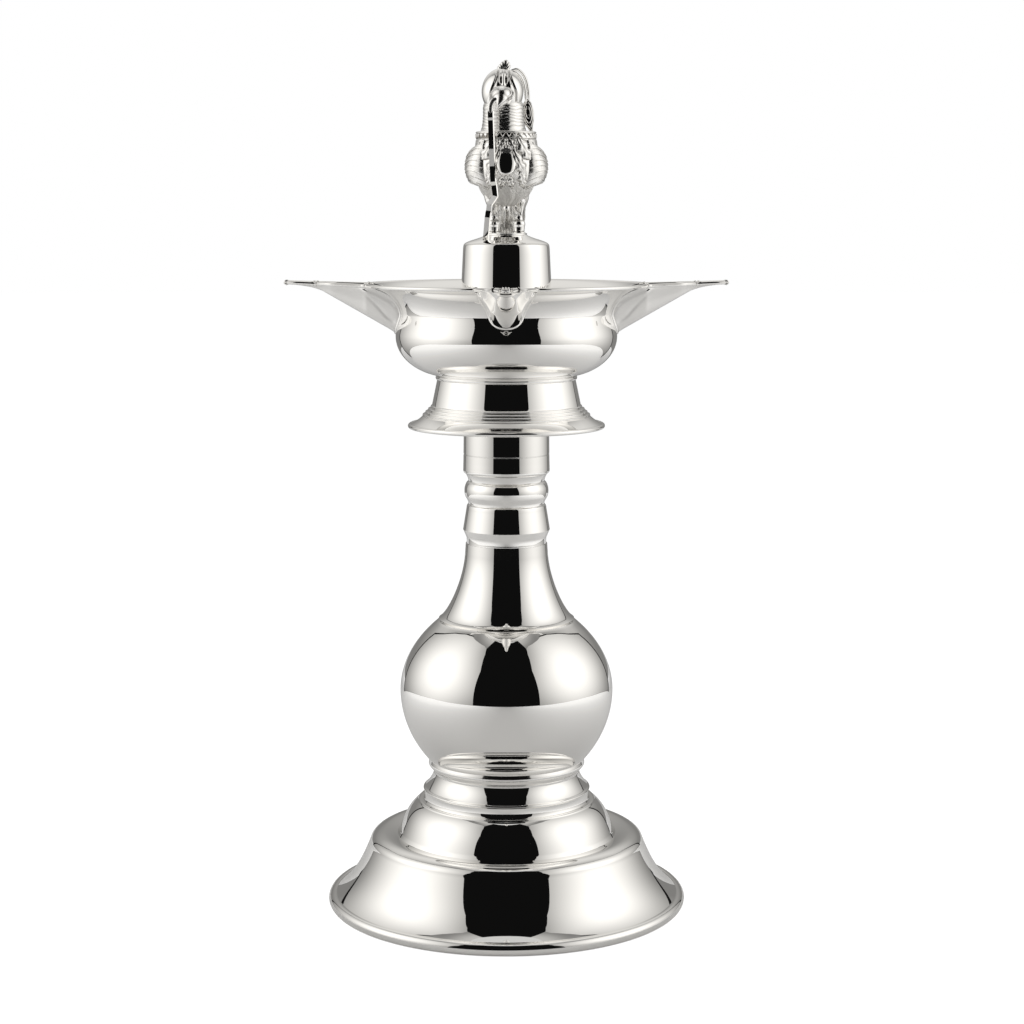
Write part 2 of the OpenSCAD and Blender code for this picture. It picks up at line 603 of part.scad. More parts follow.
module bird_leg(x) color("gainsboro")
    difference() {
        translate([x, 0, perch_z]) rotate_extrude($fn = 48)
            polygon([[0, 0], [1.26 * leg_r, 0], [1.26 * leg_r, 0.08 * leg_h], [1.13 * leg_r, 0.16 * leg_h],
                [1.17 * leg_r, 0.45 * leg_h], [0.87 * leg_r, 0.56 * leg_h], [0.96 * leg_r, 0.8 * leg_h],
                [1.09 * leg_r, leg_h], [0.96 * leg_r, 1.2 * leg_h], [0, 1.2 * leg_h]]);
        body_solid();
    }
module bird_leg_left() bird_leg(-leg_x);
module bird_leg_right() bird_leg(leg_x);
module bird_body() color("gainsboro")
    body_solid();
module chest_boss() color("silver")
    difference() {
        translate([head_x / 4, -0.97 * body_r, breast_z + 0.04 * body_h])
            scale([0.33 * body_r, 0.16 * body_r, 0.42 * body_r]) sphere(r = 1, $fn = 20);
        body_solid();
    }
module bird_neck() color("gainsboro")
    difference() {
        translate([neck_x, 0, 0]) rotate_extrude()
            polygon(concat([[0, shoulders_z]],
                curve([shoulders_r - 2.2 * necklace_bead_r, shoulders_z],
                    [bird_neck_r, shoulders_z + 0.6 * neck_len], nape_shares, curve_n / 2),
                [[bird_neck_r, head_z - 0.55 * head_r], [0, head_z - 0.55 * head_r]]));
        head_solid();
    }
necklace_r = shoulders_r - necklace_bead_r / 3;
module necklace() color("silver")
    translate([0, 0, shoulders_z + necklace_bead_r]) {
        torus(necklace_r, necklace_bead_r / 2, 0);
        for (i = [0:necklace_beads - 1]) rotate([0, 0, 360 * i / necklace_beads])
            translate([necklace_r, 0, 0]) sphere(r = necklace_bead_r, $fn = 24);
    }
module bird_head() color("silver")
    head_solid();
// Places along the beak, as shares of its length from the middle of the head, with radius and tilt
beak_shares = [[-0.03, -0.42, 0.01, 0.25, 0], [-0.10, -0.62, -0.05, 0.21, 20],
    [-0.17, -0.78, -0.18, 0.155, 42], [-0.24, -0.87, -0.36, 0.09, 66], [-0.29, -0.89, -0.52, 0.03, 80]];
module bird_beak() color("silver")
    difference() {
        loft([for (p = beak_shares)
            oval([head_x, head_y, head_z] + beak_len * [p[0], p[1], p[2]], [beak_len * p[3], 0, 0],
                beak_len * p[3] * [0, -sin(p[4]), cos(p[4])], 16)]);
        head_solid();
    }
crest_r = crest_h / 2.6;
module bird_crest() color("silver")
    difference() {
        union() {
            for (p = [[-1.2, 0.9], [0, 1.6], [1.2, 0.9]])
                translate([head_x + p.x * crest_r, head_y, head_z + head_r + (p.y - 0.07) * crest_r])
                    sphere(r = crest_r, $fn = 32);
        }
        head_solid();
    }
// Places along the plume, as shares of the head's radius from the middle of the head
plume_shares = [[0.42, 0.30, 0.90, 0.30], [0.80, 0.50, 0.72, 0.24], [1.06, 0.66, 0.20, 0.24],
    [1.22, 0.72, -0.40, 0.25], [1.32, 0.74, -1.10, 0.25], [1.34, 0.74, -1.70, 0.20],
    [1.32, 0.72, -1.92, 0.10]];
module bird_plume() color("gainsboro")
    difference() {
        loft([for (p = reversed(plume_shares))
            oval([head_x + head_r * p[0], head_y + head_r * p[1], head_z + head_r * p[2]],
                [head_r * p[3], 0, 0], [0, 1.5 * head_r * p[3], p[2] > 0.6 ? 1.2 * head_r * p[3] : 0], 12)]);
        head_solid();
    }
// A wing is a shell of feather rows on the body's side, each row wider at its lower edge
wing_z = breast_z - 0.06 * body_h;
body_table = [for (p = body_line) [p.y, p.x]];
function wing_ring(z, rise) =
    let (core = lookup(z, body_table) - sheet_t)
    [for (i = [0:curve_n]) let (s = i / curve_n, a = -wing_front + (wing_front + wing_rear) * s,
        r = core + (rise + sheet_t) * pow(sin(180 * s), 0.6)) [r * cos(a), r * sin(a), z]];
module wing() color("gainsboro")
    difference() {
        loft([for (row = [0:wing_rows - 1], edge = [0, 1])
            let (t = (row + 0.96 * edge) / wing_rows)
            wing_ring(wing_z + wing_h * (t - 0.5),
                (wing_x - body_r) * pow(sin(180 * (0.05 + 0.9 * t)), 0.6) * (edge == 0 ? 1 : 0.8))]);
        body_solid();
    }
module bird_wing_right() wing();
module bird_wing_left() mirror([1, 0, 0]) wing();
// Places along the tail: share of its length, of its half width and of the body's height, and tilt
tail_shares = [[-0.25, 0.62, 0.66, 0], [0.12, 0.66, 0.60, 12], [0.42, 0.80, 0.46, 35],
    [0.66, 0.95, 0.22, 55], [0.82, 1, -0.05, 68], [0.93, 0.90, -0.32, 75], [1, 0.50, -0.55, 80]];
module bird_tail() color("gainsboro")
    difference() {
        loft([for (p = reversed(tail_shares))
            oval([0, body_r + tail_len * p[0], bird_z + body_h * p[2]], [tail_half_w * p[1], 0, 0],
                tail_half_w * (0.34 - 0.12 * p[0]) * [0, sin(p[3]), cos(p[3])], 16)]);
        body_solid();
    }
// Places along the strap: side share of the body's radius, front share, and height between cap and beak
strap_shares = [[-0.57, -1.00, 0], [-0.52, -1.05, 0.16], [-0.46, -1.12, 0.34], [-0.43, -1.18, 0.52],
    [-0.43, -1.17, 0.68], [-0.46, -1.06, 0.84], [-0.47, -0.90, 1]];
module bird_strap() color("silver") {
    low = perch_z - 0.47 * pedestal_top_h;
    high = head_z - 1.02 * head_r;
    loft([for (p = strap_shares)
        let (w = strap_w / 2 * (0.7 + 0.3 * p[2]),
            c = [body_r * p[0], body_r * p[1], low + (high - low) * p[2]])
        [c + [-w, -strap_t / 2, 0], c + [w, -strap_t / 2, 0],
            c + [w, strap_t / 2, 0], c + [-w, strap_t / 2, 0]]]);
}

foot_rim();
foot_bell();
foot_dome();
foot_collar();
foot_bush();
foot_washer();
stem_stud();
stem_collar();
bulb_lower();
bulb_upper();
neck_flare();
neck_ring();
neck_bead();
column_cap();
stem_bush();
bowl_washer();
bowl_stud();
bowl_socket();
bowl_skirt();
skirt_rim();
bowl_collar();
bowl_lower();
bowl_upper();
bowl_rim();
spout_front();
spout_right();
spout_back();
spout_left();
bowl_bush();
finial_washer();
finial_stud();
pedestal();
bird_leg_left();
bird_leg_right();
bird_body();
chest_boss();
bird_neck();
necklace();
bird_head();
bird_beak();
bird_crest();
bird_plume();
bird_wing_left();
bird_wing_right();
bird_tail();
bird_strap();
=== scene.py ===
# %% [markdown]
# # A silver lamp for aarti
# This lamp is raised and turned from silver sheet and then polished until it is a mirror. A mirror
# has no colour of its own: what is seen is its shape and the room around it. So the lesson has two
# halves. One makes smooth, exact shapes, and the other builds the little studio that they reflect.

# %% Open the frame
from math import asin, atan2, cos, degrees, exp, hypot, pi, radians, sin, sqrt, tan
import bmesh
import bpy
from mathutils import Matrix, Vector, noise


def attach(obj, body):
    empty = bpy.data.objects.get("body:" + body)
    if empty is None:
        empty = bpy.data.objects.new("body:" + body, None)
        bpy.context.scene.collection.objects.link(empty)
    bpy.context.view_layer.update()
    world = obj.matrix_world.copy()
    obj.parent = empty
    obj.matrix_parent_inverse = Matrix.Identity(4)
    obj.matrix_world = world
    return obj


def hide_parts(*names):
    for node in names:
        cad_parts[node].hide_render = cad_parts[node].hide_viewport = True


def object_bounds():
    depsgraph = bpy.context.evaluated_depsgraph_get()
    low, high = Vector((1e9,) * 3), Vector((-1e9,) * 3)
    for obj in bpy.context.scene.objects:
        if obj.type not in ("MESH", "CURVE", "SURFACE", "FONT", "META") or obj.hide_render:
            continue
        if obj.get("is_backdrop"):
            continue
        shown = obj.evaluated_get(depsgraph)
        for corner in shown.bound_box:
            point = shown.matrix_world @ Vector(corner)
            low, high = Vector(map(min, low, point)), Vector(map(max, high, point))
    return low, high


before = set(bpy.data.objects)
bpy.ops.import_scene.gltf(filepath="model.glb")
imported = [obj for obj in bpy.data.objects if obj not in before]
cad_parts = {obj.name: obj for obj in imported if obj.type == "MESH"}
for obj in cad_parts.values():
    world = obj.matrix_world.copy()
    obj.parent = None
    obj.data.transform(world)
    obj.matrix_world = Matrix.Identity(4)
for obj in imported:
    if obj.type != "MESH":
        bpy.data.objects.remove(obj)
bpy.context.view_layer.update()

# %% [markdown]
# ## The camera
# The photo was taken from just above the bird's shoulders, looking a little down with a long lens.
# The tilt, the distance and the height were fitted to the outline of the foot and of the bird, so
# the outline of the model falls on the outline in the photo.

# %% Camera
PHOTO_PX = 1024
FOCUS_PX = 2200
SENSOR_MM = 36
CAMERA_AT = (0.00197, -0.7746, 0.24845)
LOOKS_DOWN = 7.825
camera = bpy.data.objects.new("camera", bpy.data.cameras.new("camera"))
camera.data.sensor_width = SENSOR_MM
camera.data.lens = FOCUS_PX / PHOTO_PX * SENSOR_MM
camera.location = CAMERA_AT
camera.rotation_euler = (radians(90 - LOOKS_DOWN), 0, 0)
bpy.context.scene.collection.objects.link(camera)
bpy.context.scene.camera = camera
print("the lens has a focal length of", round(camera.data.lens, 1), "mm")

# %% [markdown]
# ## Shader groups
# Two effects come back in every silver finish, so each is a node group that is built once. The
# first is the slight waviness that hammering and hand polishing leave in sheet: it bends the
# reflections, and shows nowhere else. The second is the haze of fine wiping marks, which makes
# the gloss a little uneven. The chased finishes have two more: the dark tarnish that stays in
# the lines, and the dull round dents of a matting punch.

# %% Node helpers
FLOAT, VECTOR, COLOUR = "NodeSocketFloat", "NodeSocketVector", "NodeSocketColor"


def new_group(name, inputs, outputs):
    """An empty node group, with its input and output nodes."""
    group = bpy.data.node_groups.new(name, "ShaderNodeTree")
    for label, kind, value in inputs:
        socket = group.interface.new_socket(label, in_out="INPUT", socket_type=kind)
        socket.default_value = value
    for label, kind in outputs:
        group.interface.new_socket(label, in_out="OUTPUT", socket_type=kind)
    return group, group.nodes.new("NodeGroupInput"), group.nodes.new("NodeGroupOutput")


def node(tree, kind, **values):
    """A new node. A value is set on the node itself, or else on the input of that name."""
    made = tree.nodes.new(kind)
    for key, value in values.items():
        if hasattr(made, key):
            setattr(made, key, value)
        else:
            made.inputs[key.replace("_", " ")].default_value = value
    return made


def wire(tree, source, target):
    tree.links.new(source, target)


# %% Waves of hand-worked sheet
waves, given, handed = new_group(
    "hand_waves", [("Wave Size", FLOAT, 60.0), ("Wave Depth", FLOAT, 0.1), ("Grain Size", FLOAT, 900.0),
                   ("Grain Depth", FLOAT, 0.02)], [("Normal", VECTOR)])
place = node(waves, "ShaderNodeTexCoord")
broad = node(waves, "ShaderNodeTexNoise", Detail=1.0)
fine = node(waves, "ShaderNodeTexNoise", Detail=3.0)
broad_bump = node(waves, "ShaderNodeBump", Distance=0.0004)
fine_bump = node(waves, "ShaderNodeBump", Distance=0.00005)
for texture, dents, size, depth in ((broad, broad_bump, "Wave Size", "Wave Depth"),
                                    (fine, fine_bump, "Grain Size", "Grain Depth")):
    wire(waves, place.outputs["Object"], texture.inputs["Vector"])
    wire(waves, given.outputs[size], texture.inputs["Scale"])
    wire(waves, given.outputs[depth], dents.inputs["Strength"])
    wire(waves, texture.outputs["Fac"], dents.inputs["Height"])
wire(waves, broad_bump.outputs["Normal"], fine_bump.inputs["Normal"])
wire(waves, fine_bump.outputs["Normal"], handed.inputs["Normal"])

# %% Haze of wiping marks
haze, given, handed = new_group(
    "wiping_haze", [("Polish", FLOAT, 0.03), ("Haze", FLOAT, 0.05), ("Cloud Size", FLOAT, 90.0)],
    [("Roughness", FLOAT)])
place = node(haze, "ShaderNodeTexCoord")
cloud = node(haze, "ShaderNodeTexNoise", Detail=5.0, Roughness=0.65)
wire(haze, place.outputs["Object"], cloud.inputs["Vector"])
wire(haze, given.outputs["Cloud Size"], cloud.inputs["Scale"])
band = node(haze, "ShaderNodeMapRange", From_Min=0.52, From_Max=0.78)
wire(haze, cloud.outputs["Fac"], band.inputs["Value"])
wire(haze, given.outputs["Polish"], band.inputs["To Min"])
wire(haze, given.outputs["Haze"], band.inputs["To Max"])
wire(haze, band.outputs["Result"], handed.inputs["Roughness"])

# %% Tarnish in the chased lines
tarnish, given, handed = new_group(
    "line_tarnish", [("Bright", COLOUR, (0.93, 0.92, 0.90, 1)), ("Dark", COLOUR, (0.2, 0.18, 0.15, 1)),
                     ("Amount", FLOAT, 0.6)], [("Color", COLOUR)])
depth_of_line = node(tarnish, "ShaderNodeAttribute", attribute_name="line_depth")
share = node(tarnish, "ShaderNodeMath", operation="MULTIPLY", use_clamp=True)
wire(tarnish, depth_of_line.outputs["Fac"], share.inputs[0])
wire(tarnish, given.outputs["Amount"], share.inputs[1])
blend = node(tarnish, "ShaderNodeMix", data_type="RGBA")
wire(tarnish, share.outputs[0], blend.inputs[0])
wire(tarnish, given.outputs["Bright"], blend.inputs[6])
wire(tarnish, given.outputs["Dark"], blend.inputs[7])
wire(tarnish, blend.outputs[2], handed.inputs["Color"])

# %% Marks of the matting punch
matting, given, handed = new_group(
    "punch_marks", [("Roughness", FLOAT, 0.07), ("Normal", VECTOR, (0, 0, 0)), ("Cells", FLOAT, 2400.0)],
    [("Roughness", FLOAT), ("Normal", VECTOR)])
place = node(matting, "ShaderNodeTexCoord")
struck = node(matting, "ShaderNodeAttribute", attribute_name="punched")
cells = node(matting, "ShaderNodeTexVoronoi")
dents = node(matting, "ShaderNodeBump", Distance=0.00016)
wire(matting, place.outputs["Object"], cells.inputs["Vector"])
wire(matting, given.outputs["Cells"], cells.inputs["Scale"])
wire(matting, cells.outputs["Distance"], dents.inputs["Height"])
wire(matting, struck.outputs["Fac"], dents.inputs["Strength"])
wire(matting, given.outputs["Normal"], dents.inputs["Normal"])
wire(matting, dents.outputs["Normal"], handed.inputs["Normal"])
rougher = node(matting, "ShaderNodeMix", data_type="FLOAT")
PUNCHED_ROUGHNESS = 0.52
rougher.inputs[3].default_value = PUNCHED_ROUGHNESS
wire(matting, struck.outputs["Fac"], rougher.inputs[0])
wire(matting, given.outputs["Roughness"], rougher.inputs[2])
wire(matting, rougher.outputs[0], handed.inputs["Roughness"])

# %% [markdown]
# ## Finishes
# Polished silver is a metal with a very high, faintly warm reflection and almost no roughness.
# The turned and raised parts get it bare. The bird is cast and chased, so its finish is a touch
# softer and keeps tarnish in the lines. Its belly is matted with a round punch, which a cell
# texture imitates. The screws and the washers are never polished. All are one recipe with other
# numbers, so one function makes them.

# %% Silver finishes
def silver_finish(name, colour, polish, haze_top, wave_depth, grain_depth, dark=None, amount=0.0):
    """A silver with waves and haze. Given a dark colour, it also gets tarnish and punch marks."""
    material = bpy.data.materials.new(name)
    material.use_nodes = True
    tree = material.node_tree
    shader = tree.nodes["Principled BSDF"]
    shader.inputs["Metallic"].default_value = 1.0
    surface = node(tree, "ShaderNodeGroup", node_tree=waves, Wave_Depth=wave_depth, Grain_Depth=grain_depth)
    gloss = node(tree, "ShaderNodeGroup", node_tree=haze, Polish=polish, Haze=haze_top)
    normal, roughness = surface.outputs["Normal"], gloss.outputs["Roughness"]
    if dark:
        punched = node(tree, "ShaderNodeGroup", node_tree=matting)
        wire(tree, normal, punched.inputs["Normal"])
        wire(tree, roughness, punched.inputs["Roughness"])
        normal, roughness = punched.outputs["Normal"], punched.outputs["Roughness"]
        tint = node(tree, "ShaderNodeGroup", node_tree=tarnish, Bright=colour, Dark=dark, Amount=amount)
        wire(tree, tint.outputs["Color"], shader.inputs["Base Color"])
    else:
        shader.inputs["Base Color"].default_value = colour
    wire(tree, normal, shader.inputs["Normal"])
    wire(tree, roughness, shader.inputs["Roughness"])
    return material


SILVER = (0.955, 0.945, 0.925, 1)
TARNISH = (0.12, 0.105, 0.085, 1)
polished = silver_finish("polished_silver", SILVER, 0.015, 0.045, 0.05, 0.01)
satin = silver_finish("satin_silver", SILVER, 0.09, 0.14, 0.05, 0.02)
chased = silver_finish("chased_silver", SILVER, 0.24, 0.34, 0.05, 0.06, TARNISH, 0.85)
soft_chased = silver_finish("soft_chased_silver", SILVER, 0.17, 0.26, 0.04, 0.04, TARNISH, 0.85)
bright_chased = silver_finish("bright_chased_silver", SILVER, 0.02, 0.06, 0.04, 0.02, TARNISH, 0.9)
screw = silver_finish("screw_silver", (0.80, 0.79, 0.76, 1), 0.22, 0.34, 0.02, 0.25)
soft_metal = silver_finish("washer_soft_metal", (0.84, 0.83, 0.81, 1), 0.20, 0.30, 0.02, 0.3)
print("materials made so far:", len(bpy.data.materials))

# %% [markdown]
# ## Outlines
# Everything that is round was raised over stakes or turned on a lathe, so one half outline says
# all about it. The outlines here repeat the measured sizes of the solids, in millimetres, but
# with far more points, because a mirror shows every facet. Long straight runs get extra points
# too: then the shading between two points has little distance to drift.

# %% Outline helpers
MM = 0.001
SHEET = 0.9


def curve(a, b, shares, n=26):
    """A cubic from a to b, whose two inner handles are shares of the way across and up."""
    handles = [(a[0] + (b[0] - a[0]) * s, a[1] + (b[1] - a[1]) * t) for s, t in shares]
    points = [a, *handles, b]
    run = []
    for i in range(n + 1):
        t = i / n
        weights = ((1 - t) ** 3, 3 * (1 - t) ** 2 * t, 3 * (1 - t) * t * t, t ** 3)
        run.append(tuple(sum(w * p[k] for w, p in zip(weights, points)) for k in range(2)))
    return run


def straight(a, b, n=6):
    """A straight run from a to b, with n steps."""
    return [tuple(a[k] + (b[k] - a[k]) * i / n for k in range(2)) for i in range(n + 1)]


def through(points, n=6):
    """A smooth run through all the points, in any number of dimensions."""
    ends = [points[0], *points, points[-1]]
    run = [tuple(points[0])]
    for p, q, r, s in zip(ends, ends[1:], ends[2:], ends[3:]):
        for i in range(1, n + 1):
            t = i / n
            run.append(tuple(
                0.5 * (2 * b + (c - a) * t + (2 * a - 5 * b + 4 * c - d) * t * t
                       + (3 * b - a - 3 * c + d) * t ** 3)
                for a, b, c, d in zip(p, q, r, s)))
    return run


# %% Sections of sheet and wire
def joined(*runs):
    """The runs one after the other, without the points that two of them share."""
    whole = []
    for run in runs:
        for point in run:
            if not whole or hypot(point[0] - whole[-1][0], point[1] - whole[-1][1]) > 1e-4:
                whole.append(point)
    return whole


def wall(outer, thickness=SHEET):
    """The closed section of a sheet whose outer side is given, from the bottom up."""
    inner = []
    for i, (r, z) in enumerate(outer):
        a, b = outer[max(i - 1, 0)], outer[min(i + 1, len(outer) - 1)]
        length = hypot(b[0] - a[0], b[1] - a[1])
        inner.append((r - (b[1] - a[1]) / length * thickness, z + (b[0] - a[0]) / length * thickness))
    return outer + inner[::-1]


def ring_section(r, z, wire_r, n=28):
    """The round section of a wire that is bent to a ring."""
    return [(r + wire_r * cos(2 * pi * i / n), z + wire_r * sin(2 * pi * i / n)) for i in range(n)]


# %% Making a piece
def settled(bm, name, body, nodes, material, sharp=32):
    """The bmesh becomes an object that rides on its body and stands for its solids."""
    mesh = bpy.data.meshes.new(name)
    bm.to_mesh(mesh)
    bm.free()
    mesh.polygons.foreach_set("use_smooth", [True] * len(mesh.polygons))
    mesh.set_sharp_from_angle(angle=radians(sharp))
    mesh.materials.append(material)
    piece = bpy.data.objects.new(name, mesh)
    bpy.context.scene.collection.objects.link(piece)
    if nodes:
        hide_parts(*nodes)
    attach(piece, body)
    print(name, "has", len(mesh.polygons), "faces")
    return piece


AROUND = 160


def turned(name, body, outline, *nodes, material=polished, slot="silver", sharp=32, around=AROUND):
    """A closed section, in millimetres, spun about the lamp's axis."""
    bm = bmesh.new()
    ring = [bm.verts.new((r * MM, 0, z * MM)) for r, z in outline]
    edges = [bm.edges.new((ring[i - 1], ring[i])) for i in range(len(ring))]
    bmesh.ops.spin(bm, geom=ring + edges, cent=(0, 0, 0), axis=(0, 0, 1), angle=2 * pi, steps=around,
                   use_merge=True)
    bmesh.ops.remove_doubles(bm, verts=bm.verts[:], dist=1e-7)
    bmesh.ops.recalc_face_normals(bm, faces=bm.faces[:])
    return settled(bm, name, body, nodes, material, sharp)


# %% [markdown]
# ## The foot
# The foot is a bell of sheet with a rolled rim, and on its ledge stands a dome with a plain band
# over it. The rim's bead is what touches the table. Each is spun from its own outline, so the
# seams between them stay as crisp as on the real foot.

# %% Foot
foot_rim = ring_section(62.1, 2.1, 2.3)
foot_rim = [(r, max(z, 0.0)) for r, z in foot_rim]
turned("foot_rolled_rim", "foot", foot_rim, "foot_rim", sharp=50)

bell = joined(curve((62.1, 3.9), (49.3, 22.8), [(0.48, 0.22), (0.70, 0.50)], 40),
              curve((49.3, 22.8), (44.15, 26.2), [(0.09, 0.62), (0.48, 0.94)], 22),
              curve((44.15, 26.2), (37.2, 25.5), [(0.4, 0.0), (0.7, 0.9)], 14))
turned("foot_bell_shell", "foot", wall(bell), "foot_bell", sharp=40)

dome = joined(through([(39.5, 25.5), (39.1, 26.1), (38.65, 26.9)], 4),
              curve((38.65, 26.9), (31.8, 37.75), [(0.24, 0.40), (0.46, 0.74)], 32),
              curve((31.8, 37.75), (30.9, 38.2), [(0.1, 0.6), (0.5, 1.0)], 6),
              straight((30.9, 38.2), (27.8, 38.2)))
turned("foot_dome_shell", "foot", wall(dome), "foot_dome", sharp=40)

band = joined(through([(30.0, 38.2), (29.75, 38.6), (29.55, 39.4), (29.45, 40.6), (29.5, 41.5)], 5),
              through([(29.5, 41.5), (29.95, 41.9), (29.95, 42.3), (29.4, 42.7)], 6),
              curve((29.3, 42.75), (26.2, 48.0), [(0.5, 0.3), (0.85, 0.65)], 20))
turned("foot_band_and_cone", "foot", wall(band), "foot_collar")

# %% [markdown]
# ## The stem
# The bulb is two raised bowls soldered at the widest line, and above it stand a flared neck, a
# ring, a bead and the column's cap. Those three are solid turnings, and their soft barrels and
# sharp grooves come from a few measured points, joined by a smooth run.

# %% Stem
collar = through([(26.2, 48.6), (26.5, 49.2), (27.4, 50.1), (28.0, 50.9), (28.05, 51.7), (27.7, 52.8)], 6)
turned("stem_collar_ring", "stem", wall(collar), "stem_collar", material=satin)

bulb = joined(curve((27.7, 52.8), (38.05, 78.2), [(0.53, 0.23), (1, 0.58)], 44),
              curve((38.05, 78.2), (24.65, 103.1), [(0, 0.29), (0.24, 0.66)], 44),
              [(23.9, 103.4), (21.5, 103.4)])
turned("stem_bulb", "stem", wall(bulb), "bulb_lower", "bulb_upper", sharp=40, around=192)

neck = joined([(23.6, 103.4)], curve((24.2, 104.0), (14.75, 127.5), [(0.36, 0.08), (0.95, 0.60)], 56),
              straight((14.75, 127.5), (14.5, 131.0), 6))
turned("stem_neck_flare", "stem", wall(neck), "neck_flare", sharp=40)

RING_BORE_R = 12.4
TURNINGS = {
    "stem_turned_ring": ("neck_ring", joined(
        through([(14.15, 131.0), (14.2, 133.0), (14.65, 134.2), (15.42, 136.0)], 8),
        straight((15.42, 136.0), (14.25, 143.2), 12),
        through([(14.25, 143.2), (14.15, 143.9), (14.0, 144.6), (13.7, 145.0), (13.5, 145.3)], 6))),
    "stem_turned_bead": ("neck_bead", through([
        (13.5, 145.3), (13.6, 146.0), (13.9, 146.6), (14.3, 147.3), (14.65, 148.0), (14.85, 149.0),
        (14.9, 150.0), (14.8, 151.0), (14.5, 152.0), (14.1, 152.8), (13.7, 153.2), (13.5, 153.5)], 6)),
    "stem_column_cap": ("column_cap", joined(
        through([(13.5, 153.5), (13.65, 154.2), (13.95, 155.0), (14.45, 155.9), (15.05, 156.4), (15.3, 157.0),
                 (15.3, 158.0), (15.25, 160.0)], 6), straight((15.25, 160.0), (15.2, 162.6), 4))),
}
for name, (solid, outer) in TURNINGS.items():
    turned(name, "stem", [(RING_BORE_R, outer[0][1])] + outer + [(RING_BORE_R, outer[-1][1])], solid)

# %% [markdown]
# ## Column, skirt and collar
# Under the bowl hangs a skirt that catches drops of oil, with a wire rolled into its rim. The
# column goes up inside it, and a plain round collar joins the skirt to the bowl.

# %% Column, skirt and collar
COLUMN_SHEET = 1.8
column = straight((15.2, 163.2), (14.9, 188.9), 16)
turned("bowl_column", "bowl", wall(column, COLUMN_SHEET), "bowl_socket", sharp=40)

# Four fine rings are turned between the skirt's cone and its flange
RING_STEP_R, RING_STEP_Z = 0.97, 1.0
fine_rings = []
for i in range(4):
    r, z = 29.3 - RING_STEP_R * i, 176.8 + RING_STEP_Z * i
    fine_rings += [(r + 0.17, z - 0.38), (r + 0.30, z + 0.22), (r - 0.10, z + 0.42)]
skirt = joined(curve((33.95, 173.4), (29.75, 176.3), [(0.42, 0.30), (0.76, 0.62)], 20),
               through(fine_rings, 4), straight((26.25, 180.3), (24.4, 189.2), 14))
SKIRT_SHEET = 0.8
SKIRT_WIRE_R = 0.85
turned("bowl_drip_skirt", "bowl", wall(skirt, SKIRT_SHEET), "bowl_skirt")
turned("skirt_rolled_rim", "bowl", ring_section(33.95, 173.0, SKIRT_WIRE_R, 24), "skirt_rim", sharp=60)

COLLAR_R = 24.1
COLLAR_WIRE_R = 0.85
COLLAR_Z = 190.0
COLLAR_BORE_R = 20.0
half_round = [(COLLAR_R + COLLAR_WIRE_R * cos(a), COLLAR_Z + COLLAR_WIRE_R * sin(a))
              for a in [radians(-90 + 180 * i / 16) for i in range(17)]]
collar = joined([(COLLAR_BORE_R, COLLAR_Z - COLLAR_WIRE_R)], half_round,
                [(COLLAR_BORE_R, COLLAR_Z + COLLAR_WIRE_R)])
turned("bowl_round_collar", "bowl", collar, "bowl_collar")

# %% [markdown]
# ## The bowl
# The bowl is one raised sheet: a round base, a full belly, a narrow throat and a flange that
# opens nearly flat to the rim. Four mouths are cut in its wall for the spouts. A boolean would
# leave long thin faces there, and a mirror shows those. So each quarter of the bowl is spun by
# itself, and then its points are moved sideways, until the quarter ends on the mouth's edge.

# %% Bowl outline and spout sizes
RIM_Z = 222.3
THROAT_Z = 212.3
BELLY_Z = 204.6
SPOUT_REACH = 77.9
SPOUT_HALF_W = 10.0
KEEL_END_R = 64.7
KEEL_END_DROP = 2.4
RIM_WIRE_R = 0.7
RIM_RING_R = 49.5
BOWL_R = 38.9
# Directions of the spouts, and their depth below the rim at the bowl's wall
SPOUTS = {"right": (0, 16.6), "back": (90, 13.2), "left": (180, 16.6), "front": (270, 13.2)}
# Half of a spout's section, from keel to lip: share of the half width and share of the depth
SECTION = through([(0, 0), (0.20, 0.02), (0.37, 0.08), (0.49, 0.18), (0.57, 0.32), (0.65, 0.47),
                   (0.76, 0.62), (0.88, 0.78), (0.96, 0.91), (1, 1)], 4)

belly = joined(curve((20.0, 189.2), (24.6, 190.8), [(0.5, 0.0), (0.8, 0.6)], 8),
               curve((24.6, 190.8), (BOWL_R, BELLY_Z), [(0.52, 0.10), (1, 0.47)], 30))
upper = joined(curve((BOWL_R, BELLY_Z), (37.2, THROAT_Z), [(0, 0.33), (0.85, 0.72)], 30),
               curve((37.2, THROAT_Z), (48.8, 221.85), [(0.05, 0.35), (0.33, 0.84)], 34))
bowl_line = joined(straight((7.05, 189.2), (20.0, 189.2), 6), belly, upper)
print("the bowl's outline has", len(bowl_line), "points")


# %% Mouths of the spouts
def lookup(x, table):
    """Straight-line reading of a table of (x, y) pairs, with x rising."""
    if x <= table[0][0]:
        return table[0][1]
    for (x0, y0), (x1, y1) in zip(table, table[1:]):
        if x <= x1:
            return y0 + (y1 - y0) * (x - x0) / max(x1 - x0, 1e-9)
    return table[-1][1]


WALL_R = sorted((z, r) for r, z in upper)
WIDTH_AT_DEPTH = [(z, y) for y, z in SECTION]


def mouth_angle(z, drop):
    """Half the angle, in degrees, that a spout's mouth takes from the bowl's wall at a height."""
    share = (z - (RIM_Z - drop)) / drop
    if share <= 0:
        return 0.0
    half_w = SPOUT_HALF_W * lookup(share, WIDTH_AT_DEPTH)
    return degrees(asin(half_w / lookup(z, WALL_R)))


